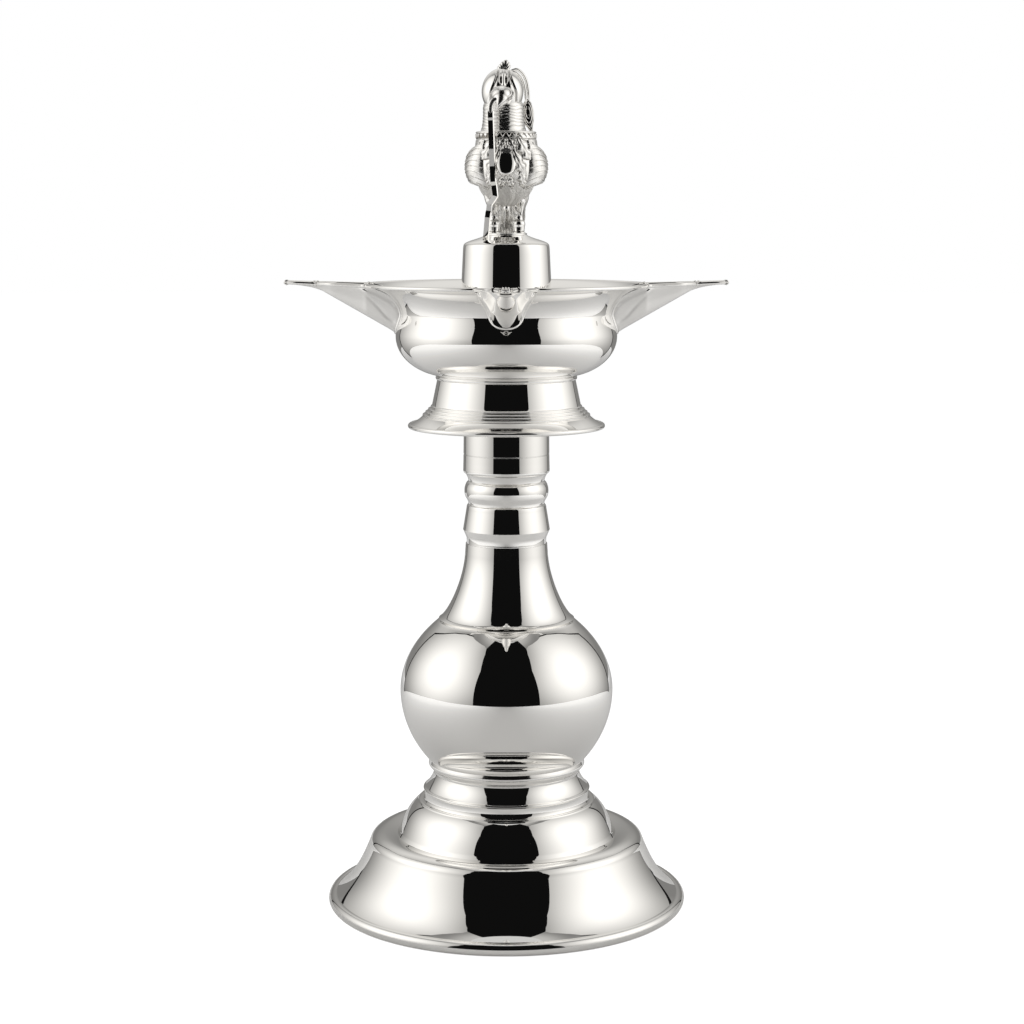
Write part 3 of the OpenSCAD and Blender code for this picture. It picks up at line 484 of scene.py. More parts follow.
# %% Bowl
bm = bmesh.new()
drops = [drop for _, drop in SPOUTS.values()]
for start, drop_a, drop_b in zip((0, 90, 180, 270), drops, drops[1:] + drops[:1]):
    turn = Matrix.Rotation(radians(start), 3, "Z")
    ring = [bm.verts.new(turn @ Vector((r * MM, 0, z * MM))) for r, z in bowl_line]
    edges = [bm.edges.new((a, b)) for a, b in zip(ring, ring[1:])]
    before = set(bm.verts)
    bmesh.ops.spin(bm, geom=ring + edges, cent=(0, 0, 0), axis=(0, 0, 1), angle=pi / 2, steps=48)
    for vert in (set(bm.verts) - before) | set(ring):
        x, y, z = vert.co / MM
        along = ((degrees(atan2(y, x)) - start + 45) % 360 - 45) / 90
        low, high = mouth_angle(z, drop_a), mouth_angle(z, drop_b)
        angle = radians(start + low + min(max(along, 0), 1) * (90 - low - high))
        vert.co = Vector((hypot(x, y) * cos(angle), hypot(x, y) * sin(angle), z)) * MM
bmesh.ops.remove_doubles(bm, verts=bm.verts[:], dist=2e-6)
bmesh.ops.recalc_face_normals(bm, faces=bm.faces[:])
outermost = max(bm.faces, key=lambda face: hypot(*face.calc_center_median()[:2]) if
                face.calc_center_median().z < THROAT_Z * MM else 0)
if outermost.normal.dot(outermost.calc_center_median() * Vector((1, 1, 0))) < 0:
    bmesh.ops.reverse_faces(bm, faces=bm.faces[:])
bowl = settled(bm, "oil_bowl", "bowl", ["bowl_lower", "bowl_upper"], polished, sharp=60)
gauge = bowl.modifiers.new("sheet", "SOLIDIFY")
gauge.thickness = SHEET * MM
gauge.offset = -1
gauge.use_even_offset = True

# %% [markdown]
# ## The spouts
# A spout is a leaf of sheet, folded to a trough. Its edges sweep in from the rim to a thin tongue,
# and its keel climbs in a straight line. The trough's root is soldered to the wall, so its points
# there are found on the wall itself. The side spouts reach deeper than the front and back ones.
# Two soft creases, where the sheet was pinched, catch the light on each side.

# %% Lines of a spout
# Half width past the rim: share of the way to the tip and share of the half width
LEAF = through([(-0.02, 1), (0.01, 0.95), (0.10, 0.87), (0.25, 0.76), (0.39, 0.65), (0.47, 0.53),
                (0.56, 0.42), (0.65, 0.36), (0.78, 0.30), (0.90, 0.23), (1, 0.13)], 4)
# Depth of the tongue: share of the way past the keel's end and share of the depth there
TONGUE = through([(0, 1), (0.25, 0.62), (0.50, 0.42), (0.75, 0.30), (1, 0.24)], 4)


def lip_at(x):
    """Height of a spout's lip, which rises by 1 mm from the rim to the tip."""
    return RIM_Z + max(0, x - RIM_RING_R) / (SPOUT_REACH - RIM_RING_R)


def keel_at(x, drop):
    """Height of a spout's keel, for the drop of its root below the rim."""
    if x > KEEL_END_R:
        return lip_at(x) - KEEL_END_DROP * lookup((x - KEEL_END_R) / (SPOUT_REACH - KEEL_END_R), TONGUE)
    end_z = lip_at(KEEL_END_R) - KEEL_END_DROP
    return RIM_Z - drop + (end_z - RIM_Z + drop) * (x - BOWL_R) / (KEEL_END_R - BOWL_R)


def half_width(x):
    return SPOUT_HALF_W * lookup((x - RIM_RING_R) / (SPOUT_REACH - RIM_RING_R), LEAF)


# %% Surface of a spout
# Creases of the folded sheet: distance from the axis, and place between keel and lip there; then
# their width and depth
CREASES = [([(36.0, 0.16), (41.8, 0.29), (47.5, 0.62), (53.2, 0.98)], 0.050, 0.40),
           ([(35.5, 0.42), (37.5, 0.50), (47.5, 0.745), (55.4, 1.0)], 0.075, -0.50)]
CREASE_END_R, CREASE_FADE, ROOT_FADE = 56, 8, 2.0
ROOT_HOLD = 3.0


def soft(x):
    """A smooth step from 0 to 1."""
    x = min(max(x, 0.0), 1.0)
    return x * x * (3 - 2 * x)


def bump(x, width):
    """A round hill of height 1 over zero."""
    return exp(-(x / width) ** 2)


def section_at(side):
    """The section's shares for a place across it, from -1 to 1."""
    spot = abs(side) * (len(SECTION) - 1)
    i = min(int(spot), len(SECTION) - 2)
    y, z = (SECTION[i][k] + (SECTION[i + 1][k] - SECTION[i][k]) * (spot - i) for k in range(2))
    return (y if side >= 0 else -y), z


def root_point(side, drop):
    """The point of a spout's root, on the bowl's wall, for a place across its section from -1 to 1."""
    y, z = section_at(side)
    z = RIM_Z - drop + drop * z
    return sqrt(lookup(z, WALL_R) ** 2 - (SPOUT_HALF_W * y) ** 2), SPOUT_HALF_W * y, z


def spout_point(along, side, drop):
    """The point of a spout for its place along, from 0 to 1, and across, from -1 to 1."""
    x0, y0, z0 = root_point(side, drop)
    x = x0 + (SPOUT_REACH - x0) * along
    y, z = section_at(side)
    keel, lip = keel_at(x, drop), lip_at(x)
    pinch = sum(depth * bump(z - lookup(x, line), width) for line, width, depth in CREASES)
    pinch *= soft((CREASE_END_R - x) / CREASE_FADE) * soft((x - x0) / ROOT_FADE)
    point = Vector((x, half_width(x) * y - (pinch if side > 0 else -pinch), keel + (lip - keel) * z))
    hold = max(0.0, 1 - (x - x0) / ROOT_HOLD) ** 2
    return point.lerp(Vector((x, y0, z0 + (point.z - z0) * (1 - hold))), hold)


# %% Spouts
SPOUT_SHEET = 0.55
# Over 1, this draws the grid's lines closer together at the root
CROWDING = 1.15
for side_name, (heading, drop) in SPOUTS.items():
    bm = bmesh.new()
    bmesh.ops.create_grid(bm, x_segments=72, y_segments=64, size=1)
    for vert in bm.verts:
        along = (vert.co.x + 1) / 2
        vert.co = spout_point(along ** CROWDING, vert.co.y, drop) * MM
    turn = Matrix.Rotation(radians(heading), 3, "Z")
    bmesh.ops.rotate(bm, verts=bm.verts[:], cent=(0, 0, 0), matrix=turn)
    bmesh.ops.recalc_face_normals(bm, faces=bm.faces[:])
    lowest = min(bm.faces, key=lambda face: face.calc_center_median().z)
    if lowest.normal.z > 0:
        bmesh.ops.reverse_faces(bm, faces=bm.faces[:])
    spout = settled(bm, "wick_spout_" + side_name, "bowl", ["spout_" + side_name], polished, sharp=70)
    gauge = spout.modifiers.new("sheet", "SOLIDIFY")
    gauge.thickness = SPOUT_SHEET * MM
    gauge.offset = -1

# %% [markdown]
# ## Wires
# A round wire stiffens the rim. It runs along a spout's edges to the tip, where the sheet is
# rolled up to a small eye, and thin bands bind it on the way. A fillet of solder covers each
# spout's root. A bevelled curve makes such wires best: it keeps its thickness round any bend.

# %% Wires
def wires(name, body, runs, radius, nodes=(), material=polished, sides=5):
    """Tubes along runs of points in millimetres, made as one mesh."""
    guide = bpy.data.curves.new(name, "CURVE")
    guide.dimensions = "3D"
    guide.bevel_depth = radius * MM
    guide.bevel_resolution = sides
    guide.use_fill_caps = True
    for run in runs:
        spline = guide.splines.new("POLY")
        spline.points.add(len(run) - 1)
        for point, place in zip(spline.points, run):
            point.co = (*[c * MM for c in place], 1)
    drawn = bpy.data.objects.new(name, guide)
    bm = bmesh.new()
    bm.from_mesh(drawn.to_mesh())
    drawn.to_mesh_clear()
    bpy.data.objects.remove(drawn)
    bmesh.ops.remove_doubles(bm, verts=bm.verts[:], dist=1e-7)
    bmesh.ops.recalc_face_normals(bm, faces=bm.faces[:])
    return settled(bm, name, body, list(nodes), material, sharp=50)


def headed(point, heading):
    """A point of the spout that lies along x, turned to the spout with that heading."""
    a = radians(heading)
    x, y, z = point
    return x * cos(a) - y * sin(a), x * sin(a) + y * cos(a), z


# %% Wires of the bowl
EYE_R = 0.62
EYE_WIRE_R = 0.34
EYE_SPACING = 0.9
SOLDER_R = 0.62
BAND_R = RIM_WIRE_R + 0.24
BAND_HALF_LEN = 0.3
BANDS_AT = (48.8, 66.4, 67.5)
# Half the angle that a spout takes from the rim's ring
GAP_ANGLE = 11.65
corner = RIM_RING_R * cos(asin(SPOUT_HALF_W / RIM_RING_R))
tip = SPOUT_REACH - 2 * EYE_R - EYE_WIRE_R
edge_runs, root_runs, band_runs, eye_runs = [], [], [], []
for heading, drop in SPOUTS.values():
    out = [corner + (tip - corner) * i / 60 for i in range(61)]
    far = [(x, half_width(x) if x > RIM_RING_R else SPOUT_HALF_W, lip_at(x)) for x in out]
    edge_runs += [[headed((x, sign * y, z), heading) for x, y, z in far] for sign in (-1, 1)]
    arc = [heading + GAP_ANGLE + (90 - 2 * GAP_ANGLE) * i / 48 for i in range(49)]
    edge_runs.append([(RIM_RING_R * cos(radians(a)), RIM_RING_R * sin(radians(a)), RIM_Z) for a in arc])
    root_runs.append([headed(root_point(-1 + i / 24, drop), heading) for i in range(49)])
    for x in BANDS_AT:
        band_runs += [[headed((at, sign * half_width(at), lip_at(at)), heading)
                       for at in (x - BAND_HALF_LEN, x, x + BAND_HALF_LEN)] for sign in (-1, 1)]
    ring = [(tip + EYE_R - EYE_R * cos(2 * pi * i / 24), lip_at(tip) + EYE_R * sin(2 * pi * i / 24))
            for i in range(25)]
    for y in (-EYE_SPACING, 0.0, EYE_SPACING):
        eye_runs.append([headed((x, y, z), heading) for x, z in ring])
wires("rim_and_spout_wire", "bowl", edge_runs, RIM_WIRE_R, ["bowl_rim"])
wires("spout_root_solder", "bowl", root_runs, SOLDER_R)
wires("spout_wire_bands", "bowl", band_runs, BAND_R, sides=7)
wires("spout_tip_eyes", "bowl", eye_runs, EYE_WIRE_R)

# %% [markdown]
# ## Pedestal, screws and washers
# The pedestal is a slightly tapered tube whose top draws in to a small perch. The three screws
# are turned studs with a rolled thread: the thread is a short section, spun and lifted at once.
# They show when the lamp is taken apart. The washers between the groups are thin rings of a soft
# metal, flush with the column, so that each joint is only a fine line.

# %% Pedestal
PERCH_Z = 240.3
PEDESTAL_Z = 192.3
SHOULDER_Z = 234.9
PERCH_T = 1.0
shoulder = through([(15.15, SHOULDER_Z), (14.92, 236.3), (14.22, 237.0), (12.6, 237.7), (9.5, 238.7),
                    (7.4, 239.6), (7.25, PERCH_Z)], 6)
tube = joined(straight((17.2, PEDESTAL_Z), (15.15, SHOULDER_Z), 24), shoulder)
perch = [(0.0, PERCH_Z), (0.0, PERCH_Z - PERCH_T), (6.4, PERCH_Z - PERCH_T)]
inside = wall(tube)[len(tube) + 2:]
turned("bird_pedestal", "finial", tube + perch + inside, "pedestal", sharp=50)

# %% Screws, bushes and washers
FOOT_TOP_Z, STEM_TOP_Z, BOWL_TOP_Z = 48.0, 162.6, 191.7
WASHER_T = 0.6
WASHER_SLACK = 0.65
PITCH = 1.5
THREAD_LEN = 9.0
THREAD_DEPTH = 0.6
FLANGE_T = 1.6
EASED = 0.3


def stud(name, body, solid, flange_r, r, joint_z):
    """A flange whose lower face is at the joint, and a threaded screw below it."""
    root_r = r - THREAD_DEPTH
    low = joint_z - THREAD_LEN
    core = [(0, low), (root_r - 0.6, low), (root_r, low + 0.6), (root_r, joint_z),
            (flange_r - EASED, joint_z), (flange_r, joint_z + EASED), (flange_r, joint_z + FLANGE_T),
            (0, joint_z + FLANGE_T)]
    turned(name, body, core, solid, material=screw, sharp=30, around=96)
    bm = bmesh.new()
    ridge = [(root_r - 0.1, 0), (r - 0.02, 0.55), (r - 0.02, 0.75), (root_r - 0.1, 1.3)]
    ring = [bm.verts.new((x * MM, 0, (low + z) * MM)) for x, z in ridge]
    edges = [bm.edges.new((ring[i - 1], ring[i])) for i in range(len(ring))]
    turns = (THREAD_LEN - PITCH) / PITCH
    steps = round(64 * turns)
    bmesh.ops.spin(bm, geom=ring + edges, cent=(0, 0, 0), axis=(0, 0, 1), angle=2 * pi * turns,
                   dvec=(0, 0, PITCH * turns / steps * MM), steps=steps)
    bmesh.ops.holes_fill(bm, edges=[edge for edge in bm.edges if edge.is_boundary])
    bmesh.ops.recalc_face_normals(bm, faces=bm.faces[:])
    settled(bm, name + "_thread", body, [], screw, sharp=30)


def bush(name, body, solid, flange_r, boss_r, bore_r, face_z):
    """A flange with its face at the joint, and a boss with a tapped bore below it."""
    low = face_z - THREAD_LEN - FLANGE_T
    turned(name, body, [(bore_r, low), (boss_r - EASED, low), (boss_r, low + EASED),
                        (boss_r, face_z - FLANGE_T), (flange_r, face_z - FLANGE_T), (flange_r, face_z),
                        (bore_r + 0.4, face_z), (bore_r, face_z - 0.4)],
           solid, material=screw, sharp=30, around=96)


def washer(name, solid, r, screw_r, z):
    """A thin flat ring, which is its own body."""
    bore_r = screw_r + WASHER_SLACK
    turned(name, solid, [(bore_r, z), (r, z), (r, z + WASHER_T), (bore_r, z + WASHER_T)], solid,
           material=soft_metal, slot="washer", sharp=30, around=96)


# %% The three joints
bush("foot_tapped_bush", "foot", "foot_bush", 24.4, 8.05, 5.05, FOOT_TOP_Z)
washer("foot_soft_washer", "foot_washer", 26.15, 5.0, FOOT_TOP_Z)
stud("stem_screw", "stem", "stem_stud", 24.4, 5.0, FOOT_TOP_Z + WASHER_T)
bush("stem_tapped_bush", "stem", "stem_bush", 13.4, 8.05, 5.05, STEM_TOP_Z)
washer("bowl_soft_washer", "bowl_washer", 15.05, 5.0, STEM_TOP_Z)
stud("bowl_screw", "bowl", "bowl_stud", 13.4, 5.0, STEM_TOP_Z + WASHER_T)
bush("bowl_tapped_bush", "bowl", "bowl_bush", 10.05, 7.05, 4.05, BOWL_TOP_Z)
washer("finial_soft_washer", "finial_washer", 10.0, 4.0, BOWL_TOP_Z)
stud("finial_screw", "finial", "finial_stud", 15.4, 4.0, PEDESTAL_Z)

# %% [markdown]
# ## The bird
# The finial is a peacock, cast in parts and then chased. Smooth base forms come first, as turned
# outlines or as tubes along a path. The chaser's work is then done by code: every point is moved
# outwards by a relief, which is a function of the place on the form. The same function says how
# dark the tarnish is there, and where a punch has matted the surface.

# %% Sculpting helpers
def spread(u_count, v_count, place):
    """A grid whose points (u, v), both from 0 to 1, go to place(u, v), in millimetres."""
    bm = bmesh.new()
    bmesh.ops.create_grid(bm, x_segments=u_count, y_segments=v_count, size=1)
    line = bm.verts.layers.float.new("line_depth")
    punch = bm.verts.layers.float.new("punched")
    for vert in bm.verts:
        x, y, z, *marks = place((vert.co.x + 1) / 2, (vert.co.y + 1) / 2)
        vert.co = Vector((x, y, z)) * MM
        vert[line] = marks[0] if marks else 0.0
        vert[punch] = marks[1] if len(marks) > 1 else 0.0
    bmesh.ops.remove_doubles(bm, verts=bm.verts[:], dist=1e-6)
    bmesh.ops.dissolve_degenerate(bm, edges=bm.edges[:], dist=1e-7)
    bmesh.ops.recalc_face_normals(bm, faces=bm.faces[:])
    return bm


def about(axis, outline, relief, around):
    """An outline turned about an upright axis, with relief(angle, height, radius) on it.
    Angles count in degrees from the front and rise towards the right."""
    def place(u, v):
        r, z = outline[round(v * (len(outline) - 1))]
        angle = u * 360 - 180
        lift, dark, matt = relief(angle, z, r)
        r = r + lift if r > 1e-6 else 0.0
        return axis[0] + r * sin(radians(angle)), axis[1] - r * cos(radians(angle)), z, dark, matt
    return spread(around, len(outline) - 1, place)


# %% Tubes and balls
def swept(path, radii, sides=24, flat=1.0, upright=(0, 1, 0), relief=None, power=1.0):
    """A closed tube through points. Flat squeezes it along upright, and power squares it."""
    middle = [Vector(p) for p in through(path, 8)]
    sizes = through([(r,) for r in radii], 8)
    last = len(middle) - 1

    def squared(value):
        return abs(value) ** power * (1 if value >= 0 else -1)

    def place(u, v):
        j = round(v * (last + 2))
        i = min(max(j - 1, 0), last)
        along = (middle[min(i + 1, last)] - middle[max(i - 1, 0)]).normalized()
        across = along.cross(Vector(upright)).normalized()
        lifted = across.cross(along)
        r = max(sizes[i][0], 0.02)
        lift, dark = relief(u, i / last) if relief else (0.0, 0.0)
        if j in (0, last + 2):
            return (*middle[i], dark)
        a = 2 * pi * u
        offset = across * squared(cos(a)) * (r + lift) + lifted * squared(sin(a)) * (r * flat + lift)
        return (*(middle[i] + offset), dark)
    return spread(sides, last + 2, place)


def ball(bm, centre, sizes, turn=None, segments=24):
    """A stretched ball is added to bm. Turn is a rotation matrix."""
    made = bmesh.ops.create_uvsphere(bm, u_segments=segments, v_segments=segments // 2 + 2, radius=1)["verts"]
    bmesh.ops.scale(bm, verts=made, vec=Vector(sizes) * MM)
    if turn:
        bmesh.ops.rotate(bm, verts=made, cent=(0, 0, 0), matrix=turn)
    bmesh.ops.translate(bm, verts=made, vec=Vector(centre) * MM)


def cast(name, bm, *nodes, material=None, slot="silver_chased", sharp=60):
    return settled(bm, name, "finial", list(nodes), material or chased, sharp)


# %% [markdown]
# ## Breast and belly
# Acanthus leaves lie over the shoulders and close round a polished boss. A leaf is a long oval
# with a scalloped edge. It has a vein down its middle, ribs that branch off, and a groove cut
# round it, so that it stands free. Below the leaves the belly is matted with a punch, and its
# lower end is folded like cloth.

# %% Leaves
# Where a leaf starts and ends, in degrees from the front and mm of height; then its half width,
# the bow of its middle line and its rise
LEAVES = [(22, 273.4, 56, 264.6, 2.6, 0.8, 0.70), (12, 269.0, 40, 260.0, 2.2, 0.7, 0.62),
          (46, 272.5, 74, 265.0, 2.0, 0.5, 0.60), (5, 259.8, 14, 255.5, 1.3, 0.2, 0.40),
          (26, 261.5, 44, 255.5, 1.7, 0.4, 0.48), (158, 273.0, 140, 265.0, 2.2, -0.5, 0.5),
          (132, 273.0, 114, 266.5, 2.0, -0.5, 0.5), (3, 272.9, 18, 268.4, 1.4, 0.3, 0.5)]
LEAVES += [(-a, z, -b, y, w, -bow, rise) for a, z, b, y, w, bow, rise in LEAVES]
LEAVES.append((180, 273.8, 180.1, 266.2, 2.2, 0, 0.45))
SHOULDERS_Z = 274.8
SCALLOPS = 3
RIBS = 4
VEIN_W = 0.20
GROOVE_DEPTH = 0.18
# Width of the groove round a leaf, as a share of the leaf's half width
GROOVE_SHARE = 0.3


def leaf_relief(leaf, a, z, r):
    """Relief and tarnish of one leaf, at an angle, a height and a radius of the body."""
    a0, z0, a1, z1, half_w, bow, rise = leaf
    east, north = radians(a1 - a0) * r, z1 - z0
    dx, dz = radians((a - a0 + 180) % 360 - 180) * r, z - z0
    length = hypot(east, north)
    along = (dx * east + dz * north) / length ** 2
    if not 0 < along < 1:
        return 0.0, 0.0
    side = (dx * north - dz * east) / length - bow * 4 * along * (1 - along)
    edge = half_w * sin(pi * along ** 0.75) ** 0.75 * (0.80 + 0.20 * cos(2 * pi * SCALLOPS * along))
    q = abs(side) / max(edge, 0.05)
    if q > 1 + GROOVE_SHARE:
        return 0.0, 0.0
    if q > 1:
        cut = sin(pi * (q - 1) / GROOVE_SHARE)
        return -GROOVE_DEPTH * cut, cut
    vein = bump(side, VEIN_W)
    ribs = 0.5 + 0.5 * cos(2 * pi * (along * RIBS - q * 0.9))
    cup = sqrt(1 - q ** 2.5)
    lift = rise * cup * (0.55 + 0.45 * sin(pi * along)) - 0.16 * vein - 0.10 * (1 - ribs) * cup
    return lift, max(0.55 * vein, 0.45 * (1 - ribs) ** 3)


# %% Breast, folds and punched belly
FOLDS_TOP_Z, FOLD_DEPTH, FOLDS = 258, 0.24, 11
SEAM_Z, SEAM_W, SEAM_DEPTH = 272.7, 0.18, 0.16
PUNCHED_TOP_Z = 261.5
LEAF_REACH = 6


def breast_relief(a, z, r):
    """All the leaves, the folds of the lower end and the punched belly."""
    if r < 0.5:
        return 0.0, 0.0, 0.7
    lift, dark = 0.0, 0.0
    for leaf in LEAVES:
        if abs(z - (leaf[1] + leaf[3]) / 2) < LEAF_REACH:
            more, line = leaf_relief(leaf, a, z, r)
            if more > 0:
                dark *= 0.3
            if abs(more) > abs(lift) and not more < 0 < lift:
                lift = more
            dark = max(dark, line if not more < 0 < lift else 0)
    wave = noise.noise(Vector((radians(a) * r * 0.5, z * 0.35, 3.1)))
    folds = soft((FOLDS_TOP_Z - z) / 4) * FOLD_DEPTH * sin(radians(a) * FOLDS + 1.5 * wave)
    seam = bump(z - SEAM_Z, SEAM_W)
    matt = soft((PUNCHED_TOP_Z - z) / 4) * (1 - soft(abs(lift) / 0.08))
    return lift + folds + 0.05 * wave - SEAM_DEPTH * seam, max(dark, 0.8 * seam, 0.15 * matt), matt


# %% Body
body_line = joined(curve((0, 249.0), (11.2, 263.964), [(0.60, 0.02), (1, 0.50)], 110),
                   curve((11.2, 263.964), (9.8, SHOULDERS_Z), [(0.08, 0.55), (0.40, 0.90)], 70),
                   straight((9.8, SHOULDERS_Z), (0, SHOULDERS_Z), 8))
body_table = [(z, r) for r, z in body_line if z < SHOULDERS_Z - 0.01]
cast("peacock_body", about((0, 0), body_line, breast_relief, 300), "bird_body")

# %% Boss with its petals
BOSS = Vector((-0.13, -10.8, 264.7))
bm = bmesh.new()
ball(bm, BOSS, (3.5, 1.25, 4.9), Matrix.Rotation(radians(-15), 3, "X"), segments=64)
cast("breast_boss", bm, "chest_boss", material=polished, slot="silver")
bm = bmesh.new()
PETALS = 24
PETAL_RING = (3.95, 5.25)
for i in range(PETALS):
    a = 2 * pi * i / PETALS
    x, z = BOSS.x + PETAL_RING[0] * cos(a), BOSS.z + PETAL_RING[1] * sin(a)
    ball(bm, (x, -sqrt(lookup(z, body_table) ** 2 - x * x) + 0.2, z), (0.34, 0.50, 0.66),
         Matrix.Rotation(pi / 2 - a, 3, "Y"), 16)
cast("breast_boss_petals", bm, material=soft_chased)

# %% [markdown]
# ## Neck, necklace and head
# The neck has level folds that waver as a hand cuts them. At its foot lies a collar of pointed
# teeth with dark gaps. The head is plain and bright on both cheeks. Between them the face is
# chased: a ridge from the crest to the beak, slits, brows and curls.

# %% Neck
NECK_TOP = 285.5
NECK_FOLDS_Z, NECK_FOLD_STEP, NECK_FOLD_DEPTH = 275.9, 1.15, 0.13


def neck_relief(a, z, r):
    """Level folds, which sway a little on their way round."""
    sway = 0.9 * sin(radians(a) * 3 + 0.8 * z) + 0.5 * sin(radians(a) * 8 + 0.3 * z)
    fold = sin(pi * (((z - NECK_FOLDS_Z) / NECK_FOLD_STEP + 0.26 * sway) % 1)) ** 0.7
    inside = soft((z - 275.7) / 0.6) * soft((NECK_TOP - 0.9 - z) / 0.8)
    return inside * (NECK_FOLD_DEPTH * fold - 0.07), inside * (1 - fold) ** 2 * 0.8, 0.0


neck_line = joined([(0.0, SHOULDERS_Z)],
                   curve((8.44, SHOULDERS_Z), (7.1, 283.0), [(0.75, 0.14), (1, 0.42)], 60),
                   through([(7.1, 283.0), (7.05, 284.0), (6.8, 284.8), (6.3, NECK_TOP)], 6),
                   [(0.0, NECK_TOP + 0.1)])
cast("peacock_neck", about((-0.975, 0), neck_line, neck_relief, 240), "bird_neck", material=soft_chased)

# %% Necklace
TEETH = 30
CORD_Z = 274.5
TOOTH = 1.6


def teeth_relief(a, z, r):
    """Teeth that hang from the cord, with tarnish in the gaps."""
    if r < 9.9 or not CORD_Z - TOOTH - 0.1 < z < CORD_Z:
        return 0.0, 0.0, 0.0
    down = (CORD_Z - z) / TOOTH
    across = abs((a / 360 * TEETH) % 1 - 0.5) * 2
    inside = soft((0.96 * (1 - down) - across) / 0.3)
    return 0.05 + 0.50 * inside * (1 - 0.35 * down), 1 - inside, 0.0


cord = [(10.0 + 0.55 * sin(a), 274.9 - 0.4 * cos(a)) for a in [pi * i / 10 for i in range(11)]]
necklace_line = joined([(9.4, 272.6), (10.2, 272.6), (10.4, 272.75)],
                       straight((10.42, 272.9), (10.12, CORD_Z), 18), cord, [(9.0, 275.3)])
necklace_line.append(necklace_line[0])
cast("necklace_of_teeth", about((-0.1, 0), necklace_line, teeth_relief, TEETH * 18), "necklace",
     material=bright_chased, slot="silver")

# %% Head
HEAD = Vector((-1.3, -0.8, 288.9))
HEAD_SIZES = Vector((7.3, 7.0, 8.1))


def face_relief(x, z):
    """Relief and tarnish of the face: x counts from the ridge, and z is a height."""
    half = 2.1 + 2.4 * soft((295.3 - z) / 8)
    gap = abs(x) - half
    inside = soft(-gap / 0.5)
    groove = bump(gap, 0.32) * soft((296.8 - z) / 1.5)
    ridge = bump(x, 0.5)
    slit = bump(abs(x) - 0.95, 0.30) * bump(z - 292.6, 1.5)
    brow = bump(abs(x) - 1.9 + 0.25 * (z - 292.5), 0.42) * bump(z - 292.8, 2.2)
    curl = bump(hypot(abs(x) - 2.3, (z - 288.2) * 0.9) - 1.05, 0.24)
    bar = bump(z - 290.4, 0.22) * soft((1.6 - abs(x)) / 0.5)
    lift = inside * (0.35 * ridge + 0.40 * brow - 0.60 * slit + 0.30 * curl - 0.25 * bar) - 0.50 * groove
    dark = inside * (0.95 * slit + 0.8 * bar + 0.25 * (1 - curl) * bump(abs(x) - 2.3, 1.2)) + 0.7 * groove
    return lift, min(dark, 1)


def head_place(u, v):
    """A point of the head: u goes round, and v goes up."""
    lat, lon = pi * (v - 0.5), 2 * pi * u
    out = Vector((cos(lat) * cos(lon), cos(lat) * sin(lon), sin(lat)))
    at = HEAD + out * HEAD_SIZES
    front = soft((-out.y - 0.2) / 0.3)
    lift, dark = face_relief(at.x - HEAD.x - 0.4, at.z) if front else (0.0, 0.0)
    return (*(at + out * (front * lift - 0.06)), front * dark)


cast("peacock_head", spread(260, 150, head_place), "bird_head", material=bright_chased, slot="silver")

# %% Beak, nostrils and eyes
beak_path = [(-1.5, -6.3, 287.5), (-1.6, -7.5, 287.2), (-1.75, -8.7, 286.6), (-2.05, -9.9, 285.5),
             (-2.6, -10.7, 284.0), (-3.2, -10.9, 282.2)]


def beak_relief(u, v):
    """The seams between the two halves of the beak, and a groove across it."""
    seam = bump(abs(u - 0.5) - 0.5, 0.02) + bump(u - 0.5, 0.02)
    rings = bump(v - 0.52, 0.03)
    return -0.14 * seam - 0.10 * rings, min(0.8 * seam + 0.6 * rings, 1)


cast("peacock_beak", swept(beak_path, (3.8, 3.8, 3.3, 2.4, 1.25, 0.2), 48, 0.92, (0, 0, 1), beak_relief),
     "bird_beak", material=soft_chased, slot="silver")
NOSTRIL_X, NOSTRIL_Z = 1.75, 287.9
rings = []
for side in (-1, 1):
    middle = Vector((HEAD.x + side * NOSTRIL_X, -9.7, NOSTRIL_Z))
    rings.append([middle + 1.15 * (cos(a) * Vector((0.95, 0.3 * side, 0)) + sin(a) * Vector((0, 0.5, 0.87)))
                  for a in [2 * pi * i / 24 for i in range(25)]])
wires("peacock_nostril_rings", "finial", rings, 0.30, material=bright_chased)
bm = bmesh.new()
for side in (-1, 1):
    ball(bm, (HEAD.x + side * NOSTRIL_X, -9.5, NOSTRIL_Z), (0.55, 0.5, 0.55), segments=20)
    ball(bm, (HEAD.x + 0.4 + side * 2.6, HEAD.y - 6.1, 291.2), (0.42, 0.36, 0.42), segments=20)
cast("peacock_nostrils_and_eyes", bm, material=bright_chased, slot="silver")

# %% Crest
bm = bmesh.new()
crest_foot = Vector((-0.9, -0.8, 295.9))
# Tips of the lobes, and their half widths
for x, z, width in ((0.1, 299.75, 1.2), (-1.1, 299.2, 1.15), (-2.2, 298.3, 1.05), (1.0, 298.9, 0.9),
                    (-3.0, 297.4, 0.8), (1.5, 297.8, 0.7)):
    away = Vector((x, crest_foot.y, z)) - crest_foot
    turn = Matrix.Rotation(atan2(away.x, away.z), 3, "Y")
    ball(bm, crest_foot + away * 0.50, (width, 0.95, away.length * 0.50), turn, 28)
cast("peacock_crest", bm, "bird_crest", material=soft_chased, slot="silver")

# %% [markdown]
# ## Plume and strap
# Two strands rise behind the crest, bend over and end in one feather with nested arcs. The flat
# strap is a garland that hangs from the beak. It is filed flat and bends a little at each link,
# so some of its faces look into the dark of the studio and some into the light. Each face has to
# be really flat for that, so the strap has a section with corners and one step for each link.

